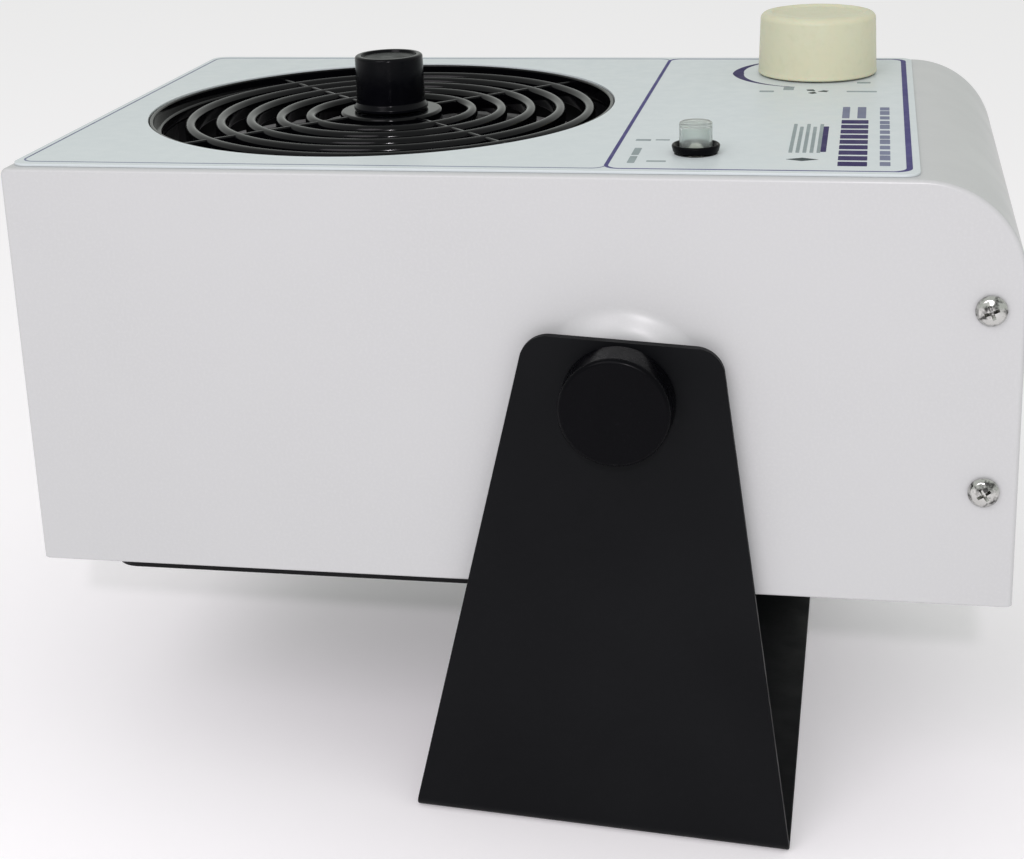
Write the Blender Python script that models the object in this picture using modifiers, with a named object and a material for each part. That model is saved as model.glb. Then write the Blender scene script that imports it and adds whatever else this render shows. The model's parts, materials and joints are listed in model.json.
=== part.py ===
"""Bench-top ionizing air blower on a tilting U-shaped stand.

Two frames are used, both in metres with +Z up.
- World: the origin is under the tilt axis, at the underside of the stand.
- Housing: x runs along the housing from its fan end, y across it from the middle plane, and z
  from the back face to the front face. The housing hangs on the tilt axis and leans by REST_TILT.
"""
import math

import bmesh
import bpy
from mathutils import Matrix, Vector

OBJECT_NAME = "ionizing_air_blower"

# Housing shell
LENGTH = 0.222
WIDTH = 0.140
DEPTH = 0.0943
WALL = 0.0015
END_RADIUS = 0.022
FAN_END_RADIUS = 0.0018
RIM_BEVEL = 0.001
GAP = 0.0003

# Front label film
LABEL_START = 0.0016
LABEL_END = 0.1999
LABEL_HALF_WIDTH = 0.068
LABEL_CORNER = 0.0035
LABEL_THICKNESS = 0.0003
LABEL_BOTTOM = DEPTH + GAP
LABEL_TOP = LABEL_BOTTOM + LABEL_THICKNESS

# Tilt axis and stand
PIVOT_X = 0.1382
PIVOT_Z = 0.0468
PIVOT_HEIGHT = 0.107
REST_TILT = math.radians(-3.4)
STAND_SHEET = 0.002
STAND_BASE_HALF = 0.0437
STAND_TOP_HALF = 0.021
STAND_HEIGHT = 0.1198
STAND_CORNER = 0.005
STAND_BEND = 0.003
LEG_OUTER_Y = 0.0745
LEG_INNER_Y = LEG_OUTER_Y - STAND_SHEET
STUD_RADIUS = 0.003
STUD_HOLE = 0.0036
BOSS_BASE_RADIUS = 0.0184
BOSS_TOP_RADIUS = 0.0155
BOSS_FACE_Y = LEG_INNER_Y - GAP
WASHER_THICKNESS = 0.0008

# Air outlet, grille and emitter cleaner
OUTLET_X = 0.0695
OUTLET_RADIUS = 0.0578
FAN_X = 0.0715
GRILLE_TOP = 0.0939
GRILLE_BOTTOM = 0.0899
GRILLE_RINGS = 5
FIRST_RING = 0.0201
RING_PITCH = 0.00737
RING_WIDTH = 0.0028
SPOKE_WIDTH = 0.0012
HUB_RADIUS = 0.0127
GRILLE_RIM_INNER = 0.0565
GRILLE_RIM_OUTER = 0.061
COLLAR_INNER = 0.0566
CLEANER_RADIUS = 0.0085
CLEANER_TOP = 0.1076
CLEANER_SHAFT_RADIUS = 0.003
BRUSH_ARM_Z = (0.084, 0.0868)
NEEDLE_COUNT = 8
NEEDLE_Z = 0.078

# Fan
FAN_SIZE = 0.119
FAN_BOTTOM = 0.0018
FAN_TOP = 0.0398
FAN_BORE = 0.0572
FAN_HOLE_HALF = 0.0525
FAN_HOLE_RADIUS = 0.0022
ROTOR_RADIUS = 0.023
BLADE_COUNT = 7
BLADE_TIP = 0.0548
BLADE_PITCH = math.radians(38)

# Controls on the front
KNOB_X, KNOB_Y = 0.1753, 0.0453
KNOB_RADIUS = 0.0154
KNOB_TOP = 0.1114
BUSHING_RADIUS = 0.0045
CONTROL_SHAFT_RADIUS = 0.003
BUTTON_X, BUTTON_Y = 0.1524, -0.050
BEZEL_RADIUS = 0.0053
CAP_RADIUS = 0.0036
CAP_TOP = 0.1018
BARREL_NECK = 0.0044

# Side screws of the housing, and the mains inlet on the back
SIDE_SCREW_X = 0.2149
SIDE_SCREW_Z = (0.0268, 0.0671)
INLET_X = 0.190
INLET_OPENING = (0.028, 0.0206)

# Finishes: colour, roughness, metallic
FINISHES = {
    "white_paint": ((0.66, 0.67, 0.69), 0.38, 0.0),
    "label_film": ((0.58, 0.66, 0.66), 0.42, 0.0),
    "black_plastic": ((0.012, 0.012, 0.014), 0.30, 0.0),
    "black_enamel": ((0.010, 0.010, 0.012), 0.45, 0.0),
    "ivory_plastic": ((0.72, 0.65, 0.46), 0.45, 0.0),
    "clear_plastic": ((0.75, 0.78, 0.76), 0.12, 0.0),
    "grey_plastic": ((0.45, 0.45, 0.44), 0.45, 0.0),
    "bright_zinc": ((0.62, 0.62, 0.62), 0.25, 1.0),
    "steel": ((0.50, 0.50, 0.51), 0.30, 1.0),
    "brass": ((0.60, 0.45, 0.20), 0.30, 1.0),
    "copper": ((0.55, 0.24, 0.12), 0.40, 1.0),
    "rubber": ((0.02, 0.02, 0.02), 0.85, 0.0),
    "foam": ((0.03, 0.03, 0.032), 0.95, 0.0),
    "circuit_green": ((0.02, 0.16, 0.06), 0.50, 0.0),
    "red_wire": ((0.45, 0.03, 0.02), 0.45, 0.0),
    "amber_lamp": ((0.80, 0.35, 0.08), 0.20, 0.0),
    "bristle": ((0.55, 0.50, 0.42), 0.80, 0.0),
}

ROUND = 36
SMALL_ROUND = 20


# ---------------------------------------------------------------- scene and helpers

def clear_scene():
    for obj in list(bpy.data.objects):
        bpy.data.objects.remove(obj, do_unlink=True)
    for collection in list(bpy.data.collections):
        bpy.data.collections.remove(collection)


clear_scene()
PARTS = bpy.data.collections.new(OBJECT_NAME)
CUTTERS = bpy.data.collections.new("cutters")
bpy.context.scene.collection.children.link(PARTS)
bpy.context.scene.collection.children.link(CUTTERS)


def empty(name, location, parent=None, tilt=0.0):
    """A frame that other objects hang on."""
    obj = bpy.data.objects.new(name, None)
    obj.location = location
    obj.rotation_euler = (0.0, tilt, 0.0)
    obj.parent = parent
    PARTS.objects.link(obj)
    return obj


TILT_AXIS = empty("tilt_axis", (0, 0, PIVOT_HEIGHT), tilt=REST_TILT)
HOUSING = empty("housing_frame", (-PIVOT_X, 0, -PIVOT_Z), TILT_AXIS)


def add(name, mesh, location, parent=HOUSING, rotation=(0, 0, 0)):
    obj = bpy.data.objects.new(name, mesh)
    obj.location = location
    obj.rotation_euler = rotation
    obj.parent = parent
    PARTS.objects.link(obj)
    return obj


def paint(obj, finish):
    """Gives an object a Principled material of its own."""
    colour, roughness, metallic = FINISHES[finish]
    material = bpy.data.materials.new(obj.name + "_material")
    material.use_nodes = True
    shader = material.node_tree.nodes["Principled BSDF"]
    shader.inputs["Base Color"].default_value = (*colour, 1.0)
    shader.inputs["Roughness"].default_value = roughness
    shader.inputs["Metallic"].default_value = metallic
    obj.data.materials.append(material)
    return obj


def as_tool(obj):
    """Moves an object to the cutters, out of the model."""
    PARTS.objects.unlink(obj)
    CUTTERS.objects.link(obj)
    obj.hide_render = True
    obj.display_type = "WIRE"
    return obj


def combine(obj, tool, operation="DIFFERENCE"):
    """Cuts obj by tool, or joins the two."""
    modifier = obj.modifiers.new(operation.lower(), "BOOLEAN")
    modifier.operation = operation
    modifier.solver = "EXACT"
    modifier.object = as_tool(tool)
    return obj


def bevel(obj, width, segments=2):
    modifier = obj.modifiers.new("rounded_edges", "BEVEL")
    modifier.width = width
    modifier.segments = segments
    modifier.limit_method = "ANGLE"
    modifier.angle_limit = math.radians(40)
    return obj


def mesh_from(name, bm):
    mesh = bpy.data.meshes.new(name)
    bm.to_mesh(mesh)
    bm.free()
    return mesh


def smooth(mesh):
    mesh.shade_smooth()
    mesh.set_sharp_from_angle(angle=math.radians(35))


def box(name, low, high, parent=HOUSING):
    """A block between two corners."""
    bm = bmesh.new()
    size = Vector(high) - Vector(low)
    bmesh.ops.create_cube(bm, size=1.0)
    bmesh.ops.scale(bm, vec=size, verts=bm.verts)
    return add(name, mesh_from(name, bm), (Vector(high) + Vector(low)) / 2, parent)


def rod(name, radius, low, high, tip=None, parent=HOUSING, sides=SMALL_ROUND):
    """A straight cylinder, or a cone with a tip radius, between two points."""
    low, high = Vector(low), Vector(high)
    bm = bmesh.new()
    bmesh.ops.create_cone(bm, cap_ends=True, segments=sides, radius1=radius,
                          radius2=radius if tip is None else tip, depth=(high - low).length)
    mesh = mesh_from(name, bm)
    smooth(mesh)
    turn = (high - low).to_track_quat("Z", "Y").to_euler()
    return add(name, mesh, (low + high) / 2, parent, turn)


def turned(name, profile, location, parent=HOUSING, rotation=(0, 0, 0), steps=ROUND):
    """A turned shape. The profile is (radius, height) points, top to bottom on the outer side; it
    starts and ends on the axis, or it is closed if its first point is off the axis."""
    bm = bmesh.new()
    verts = [bm.verts.new((radius, 0, height)) for radius, height in profile]
    pairs = list(zip(verts, verts[1:]))
    if profile[0][0] > 0:
        pairs.append((verts[-1], verts[0]))
    for first, second in pairs:
        bm.edges.new((first, second))
    obj = add(name, mesh_from(name, bm), location, parent, rotation)
    screw = obj.modifiers.new("turned", "SCREW")
    screw.steps = steps
    screw.render_steps = steps
    screw.use_merge_vertices = True
    screw.merge_threshold = 0.00001
    screw.use_smooth_shade = True
    return obj


def ring_profile(inner, outer, low, high):
    return [(inner, high), (outer, high), (outer, low), (inner, low)]


def arc(cx, cy, radius, start, end, steps):
    """Points on an arc, angles in degrees."""
    angles = [math.radians(start + (end - start) * i / steps) for i in range(steps + 1)]
    return [(cx + radius * math.cos(a), cy + radius * math.sin(a)) for a in angles]


def circle(cx, cy, radius, steps=ROUND):
    return arc(cx, cy, radius, 0, 360, steps)[:-1]


def rounded_rectangle(x0, y0, x1, y1, radius, steps=4):
    return (arc(x1 - radius, y1 - radius, radius, 0, 90, steps)
            + arc(x0 + radius, y1 - radius, radius, 90, 180, steps)
            + arc(x0 + radius, y0 + radius, radius, 180, 270, steps)
            + arc(x1 - radius, y0 + radius, radius, 270, 360, steps))


def rectangle(x0, y0, x1, y1):
    return [(x0, y0), (x1, y0), (x1, y1), (x0, y1)]


def plate(name, outlines, low, high, parent=HOUSING, upright=False):
    """A flat plate from one outline and any holes in it. It lies in XY between the heights low
    and high; upright stands it in XZ, between those places along Y."""
    curve = bpy.data.curves.new(name, "CURVE")
    curve.dimensions = "2D"
    curve.fill_mode = "BOTH"
    curve.extrude = (high - low) / 2
    for outline in outlines:
        spline = curve.splines.new("POLY")
        spline.points.add(len(outline) - 1)
        for point, (x, y) in zip(spline.points, outline):
            point.co = (x, y, 0, 1)
        spline.use_cyclic_u = True
    shape = bpy.data.objects.new(name + "_outline", curve)
    PARTS.objects.link(shape)
    graph = bpy.context.evaluated_depsgraph_get()
    mesh = bpy.data.meshes.new_from_object(shape.evaluated_get(graph))
    bpy.data.objects.remove(shape)
    mesh.name = name
    bm = bmesh.new()
    bm.from_mesh(mesh)
    bmesh.ops.remove_doubles(bm, verts=bm.verts, dist=0.000001)
    if upright:
        bmesh.ops.rotate(bm, verts=bm.verts, matrix=Matrix.Rotation(math.pi / 2, 3, "X"))
    bmesh.ops.recalc_face_normals(bm, faces=bm.faces)
    bm.to_mesh(mesh)
    bm.free()
    middle = (low + high) / 2
    return add(name, mesh, (0, middle, 0) if upright else (0, 0, middle), parent)


def wire(name, points, radius):
    """A round wire along a smooth route."""
    curve = bpy.data.curves.new(name, "CURVE")
    curve.dimensions = "3D"
    curve.bevel_depth = radius
    curve.bevel_resolution = 2
    curve.use_fill_caps = True
    spline = curve.splines.new("POLY")
    spline.points.add(len(points) - 1)
    for point, place in zip(spline.points, points):
        point.co = (*place, 1)
    obj = bpy.data.objects.new(name, curve)
    obj.parent = HOUSING
    PARTS.objects.link(obj)
    return obj


def smooth_route(ends, steps):
    """Points on a cubic curve between four control points."""
    a, b, c, d = (Vector(point) for point in ends)
    route = []
    for i in range(steps + 1):
        t = i / steps
        u = 1 - t
        route.append(a * u**3 + b * 3 * u * u * t + c * 3 * u * t * t + d * t**3)
    return route


# ---------------------------------------------------------------- housing

def housing_outline(inset, bottom):
    """The side outline of the housing, drawn in XZ."""
    right, top = LENGTH - inset, DEPTH - inset
    fan_end = max(FAN_END_RADIUS - inset, 0.0003)
    far_end = END_RADIUS - inset
    return ([(inset, bottom)]
            + arc(inset + fan_end, top - fan_end, fan_end, 180, 90, 2)
            + arc(right - far_end, top - far_end, far_end, 90, 0, 10)
            + [(right, bottom)])


def front_cover():
    """The white shell: front face, both ends and both sides, open at the back."""
    half = WIDTH / 2
    cover = plate("front_cover", [housing_outline(0, 0)], -half, half, upright=True)
    bevel(cover, RIM_BEVEL)
    inner = half - WALL
    hollow = plate("cover_hollow", [housing_outline(WALL, -0.01)], -inner, inner, upright=True)
    for side in (-1, 1):
        boss = rod("cover_boss", BOSS_BASE_RADIUS, (PIVOT_X, side * (half - WALL / 2), PIVOT_Z),
                   (PIVOT_X, side * BOSS_FACE_Y, PIVOT_Z), tip=BOSS_TOP_RADIUS, sides=ROUND)
        combine(cover, boss, "UNION")
    combine(cover, hollow)
    combine(cover, rod("outlet_cut", OUTLET_RADIUS, (OUTLET_X, 0, DEPTH - 0.004),
                       (OUTLET_X, 0, DEPTH + 0.004), sides=64))
    combine(cover, rod("stud_cut", STUD_HOLE, (PIVOT_X, -WIDTH, PIVOT_Z), (PIVOT_X, WIDTH, PIVOT_Z)))
    combine(cover, rod("speed_cut", BUSHING_RADIUS + 0.0004, (KNOB_X, KNOB_Y, DEPTH - 0.004),
                       (KNOB_X, KNOB_Y, DEPTH + 0.004)))
    combine(cover, rod("button_cut", BARREL_NECK + 0.0003, (BUTTON_X, BUTTON_Y, DEPTH - 0.004),
                       (BUTTON_X, BUTTON_Y, DEPTH + 0.004)))
    for height in SIDE_SCREW_Z:
        combine(cover, rod("screw_cut", 0.0022, (SIDE_SCREW_X, -WIDTH, height),
                           (SIDE_SCREW_X, WIDTH, height), sides=12))
    paint(cover, "white_paint")


def front_label():
    outline = rounded_rectangle(LABEL_START, -LABEL_HALF_WIDTH, LABEL_END, LABEL_HALF_WIDTH,
                                LABEL_CORNER)
    holes = [circle(OUTLET_X, 0, OUTLET_RADIUS, 64),
             circle(KNOB_X, KNOB_Y, BUSHING_RADIUS + 0.0004, 16),
             circle(BUTTON_X, BUTTON_Y, BARREL_NECK + 0.0003, 16)]
    paint(plate("front_label", [outline] + holes, LABEL_BOTTOM, LABEL_TOP), "label_film")


def rear_panel():
    """The back sheet, with two upright ears that take the side screws."""
    clear = WALL + GAP
    half = WIDTH / 2 - clear
    outline = rectangle(clear, -half, LENGTH - clear, half)
    inlet_x, inlet_y = (size / 2 + GAP for size in INLET_OPENING)
    holes = [circle(FAN_X, 0, 0.056), rectangle(INLET_X - inlet_x, -inlet_y, INLET_X + inlet_x,
                                                inlet_y)]
    holes += [circle(x, y, FAN_HOLE_RADIUS, 12) for x, y in fan_corners()]
    panel = plate("rear_panel", [outline] + holes, 0, WALL)
    for side in (-1, 1):
        low, high = sorted((side * half, side * (half - WALL)))
        ear = box("panel_ear", (LENGTH - 0.016, low, WALL / 2), (LENGTH - 0.0025, high, 0.074))
        combine(panel, ear, "UNION")
    for height in SIDE_SCREW_Z:
        combine(panel, rod("ear_cut", 0.002, (SIDE_SCREW_X, -WIDTH, height),
                           (SIDE_SCREW_X, WIDTH, height), sides=12))
    paint(panel, "white_paint")


def side_screws():
    """Pan-head screws through the sides of the cover into the ears of the rear panel."""
    head = [(0, 0.0018), (0.0018, 0.0016), (0.0029, 0.0009), (0.0033, 0.0002), (0.0033, 0),
            (0.0017, 0), (0.0017, -0.009), (0, -0.009)]
    number = 1
    for side in (-1, 1):
        for height in SIDE_SCREW_Z:
            screw = turned(f"side_screw_{number}", head,
                           (SIDE_SCREW_X, side * (WIDTH / 2 + GAP), height),
                           rotation=(-side * math.pi / 2, 0, 0), steps=12)
            slot = box("drive_slot", (-0.0003, -0.0017, 0.0009), (0.0003, 0.0017, 0.004), screw)
            bar = box("drive_bar", (-0.0017, -0.0003, 0.0009), (0.0017, 0.0003, 0.004), screw)
            combine(slot, bar, "UNION")
            combine(screw, slot)
            paint(screw, "bright_zinc")
            number += 1


# ---------------------------------------------------------------- stand and tilt clamp

def stand():
    """The U-shaped steel stand: one folded sheet, with its legs tapering to the tilt axis."""
    bend_in = STAND_BEND - STAND_SHEET
    outer, inner = LEG_OUTER_Y - STAND_BEND, LEG_INNER_Y - bend_in
    section = ([(-LEG_INNER_Y, STAND_HEIGHT), (-LEG_OUTER_Y, STAND_HEIGHT)]
               + arc(-outer, STAND_BEND, STAND_BEND, 180, 270, 4)
               + arc(outer, STAND_BEND, STAND_BEND, 270, 360, 4)
               + [(LEG_OUTER_Y, STAND_HEIGHT), (LEG_INNER_Y, STAND_HEIGHT)]
               + arc(inner, STAND_SHEET + bend_in, bend_in, 360, 270, 2)
               + arc(-inner, STAND_SHEET + bend_in, bend_in, 270, 180, 2))
    bracket = plate("tilt_bracket", [section], -STAND_BASE_HALF - 0.01, STAND_BASE_HALF + 0.01,
                    parent=None, upright=True)
    bracket.rotation_euler = (0, 0, math.pi / 2)
    bracket.location = (0, 0, 0)
    slope = (STAND_BASE_HALF - STAND_TOP_HALF) / STAND_HEIGHT
    lean = math.degrees(math.atan(slope))
    corner = STAND_TOP_HALF - STAND_CORNER * (1 - math.sin(math.radians(lean)))
    centre_z = STAND_HEIGHT - GAP - STAND_CORNER
    below = 0.005
    foot = STAND_BASE_HALF + slope * below
    outline = ([(-foot, -below), (foot, -below)]
               + arc(corner, centre_z, STAND_CORNER, lean, 90, 4)
               + arc(-corner, centre_z, STAND_CORNER, 90, 180 - lean, 4))
    taper = plate("leg_taper", [outline], -WIDTH, WIDTH, parent=None, upright=True)
    combine(bracket, taper, "INTERSECT")
    combine(bracket, rod("stud_holes", STUD_HOLE, (0, -WIDTH, PIVOT_HEIGHT),
                         (0, WIDTH, PIVOT_HEIGHT), parent=None))
    paint(bracket, "black_enamel")


def tilt_clamps():
    """At each side: a knob on its stud, a friction washer, and a threaded insert in the housing."""
    washer = ring_profile(STUD_HOLE, 0.010, 0, WASHER_THICKNESS)
    thread = STUD_RADIUS + GAP
    knob = [(0, 0.0084), (0.0088, 0.0084), (0.0096, 0.0081), (0.0108, 0.0076), (0.0118, 0.0066),
            (0.0123, 0.0052), (0.0124, 0.0006), (0.0118, 0), (thread, 0), (thread, 0.0056),
            (0, 0.0056)]
    insert = [(thread, 0), (0.0085, 0), (0.0085, -0.0015), (0.006, -0.0015), (0.006, -0.009),
              (thread, -0.009)]
    washer_y = LEG_OUTER_Y + GAP
    knob_y = washer_y + WASHER_THICKNESS + GAP
    for side, place in ((-1, "near"), (1, "far")):
        facing = (-side * math.pi / 2, 0, 0)
        ring = turned(f"friction_washer_{place}", washer, (0, side * washer_y, 0),
                      parent=TILT_AXIS, rotation=facing, steps=SMALL_ROUND)
        paint(ring, "rubber")
        grip = turned(f"thumb_knob_{place}", knob, (0, side * knob_y, 0), parent=TILT_AXIS,
                      rotation=facing, steps=24)
        paint(grip, "black_plastic")
        stud = rod(f"thumb_stud_{place}", STUD_RADIUS, (0, side * 0.061, 0),
                   (0, side * (knob_y + 0.0053), 0), parent=TILT_AXIS, sides=16)
        paint(stud, "bright_zinc")
        nut = turned(f"tilt_insert_{place}", insert, (0, side * (WIDTH / 2 - WALL - GAP), 0),
                     parent=TILT_AXIS, rotation=facing, steps=SMALL_ROUND)
        paint(nut, "brass")


# ---------------------------------------------------------------- air path

def fan_corners():
    """The centres of the fan's four corner holes."""
    offsets = (-FAN_HOLE_HALF, FAN_HOLE_HALF)
    return [(FAN_X + x, y) for x in offsets for y in offsets]


def ring_window(cx, inner, outer, quarter, half_bar, steps):
    """A window between two rings and two diagonal bars, in one quarter."""
    def trim(radius):
        return math.degrees(math.asin(half_bar / radius))
    start, end = 45 + 90 * quarter, 135 + 90 * quarter
    return (arc(cx, 0, outer, start + trim(outer), end - trim(outer), steps)
            + arc(cx, 0, inner, end - trim(inner), start + trim(inner), steps))


def ring_edges():
    """The inner and outer radius of each window of the grille, from the hub outwards."""
    radii = [FIRST_RING + RING_PITCH * i for i in range(GRILLE_RINGS)]
    inner = [HUB_RADIUS] + [radius + RING_WIDTH / 2 for radius in radii]
    outer = [radius - RING_WIDTH / 2 for radius in radii] + [GRILLE_RIM_INNER]
    return list(zip(inner, outer))


def grille():
    """The front finger guard: five rings on four diagonal spokes, with a hub, a rim that lies under
    the cover, and a collar that stands up from the rim to line the outlet."""
    windows = [ring_window(FAN_X, inner, outer, quarter, SPOKE_WIDTH / 2, 6)
               for inner, outer in ring_edges() for quarter in range(4)]
    outlines = [circle(FAN_X, 0, GRILLE_RIM_OUTER), circle(FAN_X, 0, 0.0033, 16)] + windows
    guard = plate("front_grille", outlines, GRILLE_BOTTOM, GRILLE_TOP)
    step = ring_profile(GRILLE_RIM_INNER - 0.0005, GRILLE_RIM_OUTER + 0.001,
                        DEPTH - WALL - GAP - 0.0001, DEPTH)
    combine(guard, turned("rim_step", step, (FAN_X, 0, 0)))
    collar = ring_profile(COLLAR_INNER, OUTLET_RADIUS - GAP, DEPTH - 2 * WALL, LABEL_BOTTOM)
    combine(guard, turned("outlet_collar", collar, (OUTLET_X, 0, 0), steps=64), "UNION")
    paint(guard, "black_plastic")


def emitter_cleaner():
    """The knob on the grille turns a brush arm that sweeps over the emitter needles."""
    base = GRILLE_TOP + GAP
    height = CLEANER_TOP - base
    bore = CLEANER_SHAFT_RADIUS + GAP
    profile = [(0, height - 0.0009), (0.0062, height - 0.0009), (0.0068, height - 0.0002),
               (0.0074, height), (0.0080, height - 0.0003), (CLEANER_RADIUS, height - 0.001),
               (CLEANER_RADIUS, 0.0016), (0.0092, 0.0006), (0.0092, 0), (bore, 0),
               (bore, 0.0090), (0, 0.0090)]
    paint(turned("cleaner_knob", profile, (FAN_X, 0, base), steps=24), "black_plastic")
    low, high = BRUSH_ARM_Z
    paint(rod("cleaner_shaft", CLEANER_SHAFT_RADIUS, (FAN_X, 0, low), (FAN_X, 0, base + 0.0086),
              sides=16), "steel")
    arm = turned("brush_arm", ring_profile(bore, 0.0062, low, high), (FAN_X, 0, 0), steps=16)
    blade = box("arm_bar", (0.005, -0.003, low + 0.0002), (0.050, 0.003, high - 0.0002), arm)
    combine(arm, blade, "UNION")
    paint(arm, "black_plastic")
    paint(box("cleaner_brush", (FAN_X + 0.041, -0.0024, NEEDLE_Z + 0.0014),
              (FAN_X + 0.050, 0.0024, low - 0.0002)), "bristle")


def emitters():
    """The emitter ring inside the duct, and its needles pointing at the axis."""
    paint(turned("emitter_ring", ring_profile(0.0526, 0.0561, 0.074, 0.082), (FAN_X, 0, 0)),
          "grey_plastic")
    for number in range(NEEDLE_COUNT):
        angle = 2 * math.pi * (number + 0.5) / NEEDLE_COUNT
        ray = Vector((math.cos(angle), math.sin(angle), 0))
        centre = Vector((FAN_X, 0, NEEDLE_Z))
        paint(rod(f"emitter_needle_{number + 1}", 0.0008, centre + ray * 0.0522,
                  centre + ray * 0.043, tip=0.0001, sides=8), "steel")


def air_duct():
    profile = ring_profile(0.0566, 0.0588, FAN_TOP + GAP, GRILLE_BOTTOM - GAP)
    paint(turned("air_duct", profile, (FAN_X, 0, 0)), "black_plastic")


def fan_frame():
    """The square fan frame with its motor mount on two crossed struts."""
    half = FAN_SIZE / 2
    outline = rounded_rectangle(FAN_X - half, -half, FAN_X + half, half, 0.005, 3)
    holes = [circle(FAN_X, 0, FAN_BORE)]
    holes += [circle(x, y, FAN_HOLE_RADIUS, 12) for x, y in fan_corners()]
    frame = plate("fan_frame", [outline] + holes, FAN_BOTTOM, FAN_TOP)
    mount = turned("motor_mount", [(0, 0.0068), (0.0043, 0.0068), (0.0043, 0.030), (0.0064, 0.030),
                                   (0.0064, 0.0053), (0.0215, 0.0053), (0.0215, 0.0021),
                                   (0, 0.0021)], (FAN_X, 0, 0), steps=24)
    for angle in (20, 110):
        strut = box("fan_strut", (-0.0582, -0.003, 0.0024), (0.0582, 0.003, 0.005))
        strut.location = (FAN_X, 0, 0.0037)
        strut.rotation_euler = (0, 0, math.radians(angle))
        combine(mount, strut, "UNION")
    combine(frame, mount, "UNION")
    paint(frame, "black_plastic")


def fan_motor():
    paint(turned("motor_stator", ring_profile(0.0068, 0.0185, 0.0072, 0.025), (FAN_X, 0, 0),
                 steps=16), "copper")
    bearing = ring_profile(0.00205, 0.004, 0, 0.004)
    for name, height in (("rear_bearing", 0.0072), ("front_bearing", 0.0256)):
        paint(turned(name, bearing, (FAN_X, 0, height), steps=16), "steel")


def impeller():
    """The rotor cup with its blades, and the shaft it turns on."""
    cup = [(0, 0.037), (0.0215, 0.037), (ROTOR_RADIUS, 0.0355), (ROTOR_RADIUS, 0.0065),
           (0.0212, 0.0065), (0.0212, 0.0348), (0.004, 0.0348), (0.004, 0.0302),
           (0.00205, 0.0302), (0.00205, 0.0358), (0, 0.0358)]
    rotor = turned("impeller", cup, (FAN_X, 0, 0), steps=24)
    bm = bmesh.new()
    length = BLADE_TIP - ROTOR_RADIUS + 0.001
    for number in range(BLADE_COUNT):
        blade = bmesh.ops.create_cube(bm, size=1.0)["verts"]
        bmesh.ops.scale(bm, vec=(length, 0.027, 0.0016), verts=blade)
        bmesh.ops.rotate(bm, verts=blade, matrix=Matrix.Rotation(BLADE_PITCH, 3, "X"))
        bmesh.ops.translate(bm, verts=blade, vec=(BLADE_TIP - length / 2, 0, 0))
        turn = Matrix.Rotation(2 * math.pi * number / BLADE_COUNT, 3, "Z")
        bmesh.ops.rotate(bm, verts=blade, matrix=turn)
    blades = add("impeller_blades", mesh_from("impeller_blades", bm), (FAN_X, 0, 0.0215))
    combine(rotor, blades, "UNION")
    paint(rotor, "black_plastic")
    paint(rod("fan_shaft", 0.00175, (FAN_X, 0, 0.0074), (FAN_X, 0, 0.0355), sides=12), "steel")


def rear_filter():
    """On the back: a finger guard, a foam sheet and a snap-on cover, held by the fan screws."""
    half = FAN_SIZE / 2
    outline = rounded_rectangle(FAN_X - half, -half, FAN_X + half, half, 0.006, 3)
    windows = [ring_window(FAN_X, inner, outer, quarter, 0.002, 6)
               for inner, outer in ((0.014, 0.033), (0.0365, 0.0555)) for quarter in range(4)]
    holes = [circle(x, y, FAN_HOLE_RADIUS, 12) for x, y in fan_corners()]
    paint(plate("rear_guard", [outline] + windows + holes, -0.0028, -GAP), "black_plastic")
    paint(plate("foam_filter", [rounded_rectangle(FAN_X - 0.0495, -0.0495, FAN_X + 0.0495, 0.0495,
                                                  0.006, 2)], -0.0047, -0.0031), "foam")
    lid = plate("filter_cover", [outline] + lid_windows(), -0.0063, -0.005)
    inner = rounded_rectangle(FAN_X - half + 0.002, -half + 0.002, FAN_X + half - 0.002,
                              half - 0.002, 0.004, 3)
    combine(lid, plate("lid_rim", [outline, inner], -0.0060, -0.0031), "UNION")
    paint(lid, "black_plastic")


def lid_windows():
    """A five by five lattice of square openings."""
    count, pitch, opening = 5, 0.0201, 0.0167
    first = -(count - 1) / 2 * pitch
    windows = []
    for column in range(count):
        for row in range(count):
            x = FAN_X + first + column * pitch
            y = first + row * pitch
            windows.append(rectangle(x - opening / 2, y - opening / 2, x + opening / 2,
                                     y + opening / 2))
    return windows


def fan_screws():
    """Countersunk-style screws through the rear guard into the fan frame."""
    profile = [(0, 0.012), (0.0017, 0.012), (0.0017, 0), (0.0034, 0), (0.0034, -0.0012),
               (0.0026, -0.0017), (0, -0.0018)]
    for number, (x, y) in enumerate(fan_corners(), 1):
        paint(turned(f"fan_screw_{number}", profile, (x, y, -0.0031), steps=12), "bright_zinc")


# ---------------------------------------------------------------- controls

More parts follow.
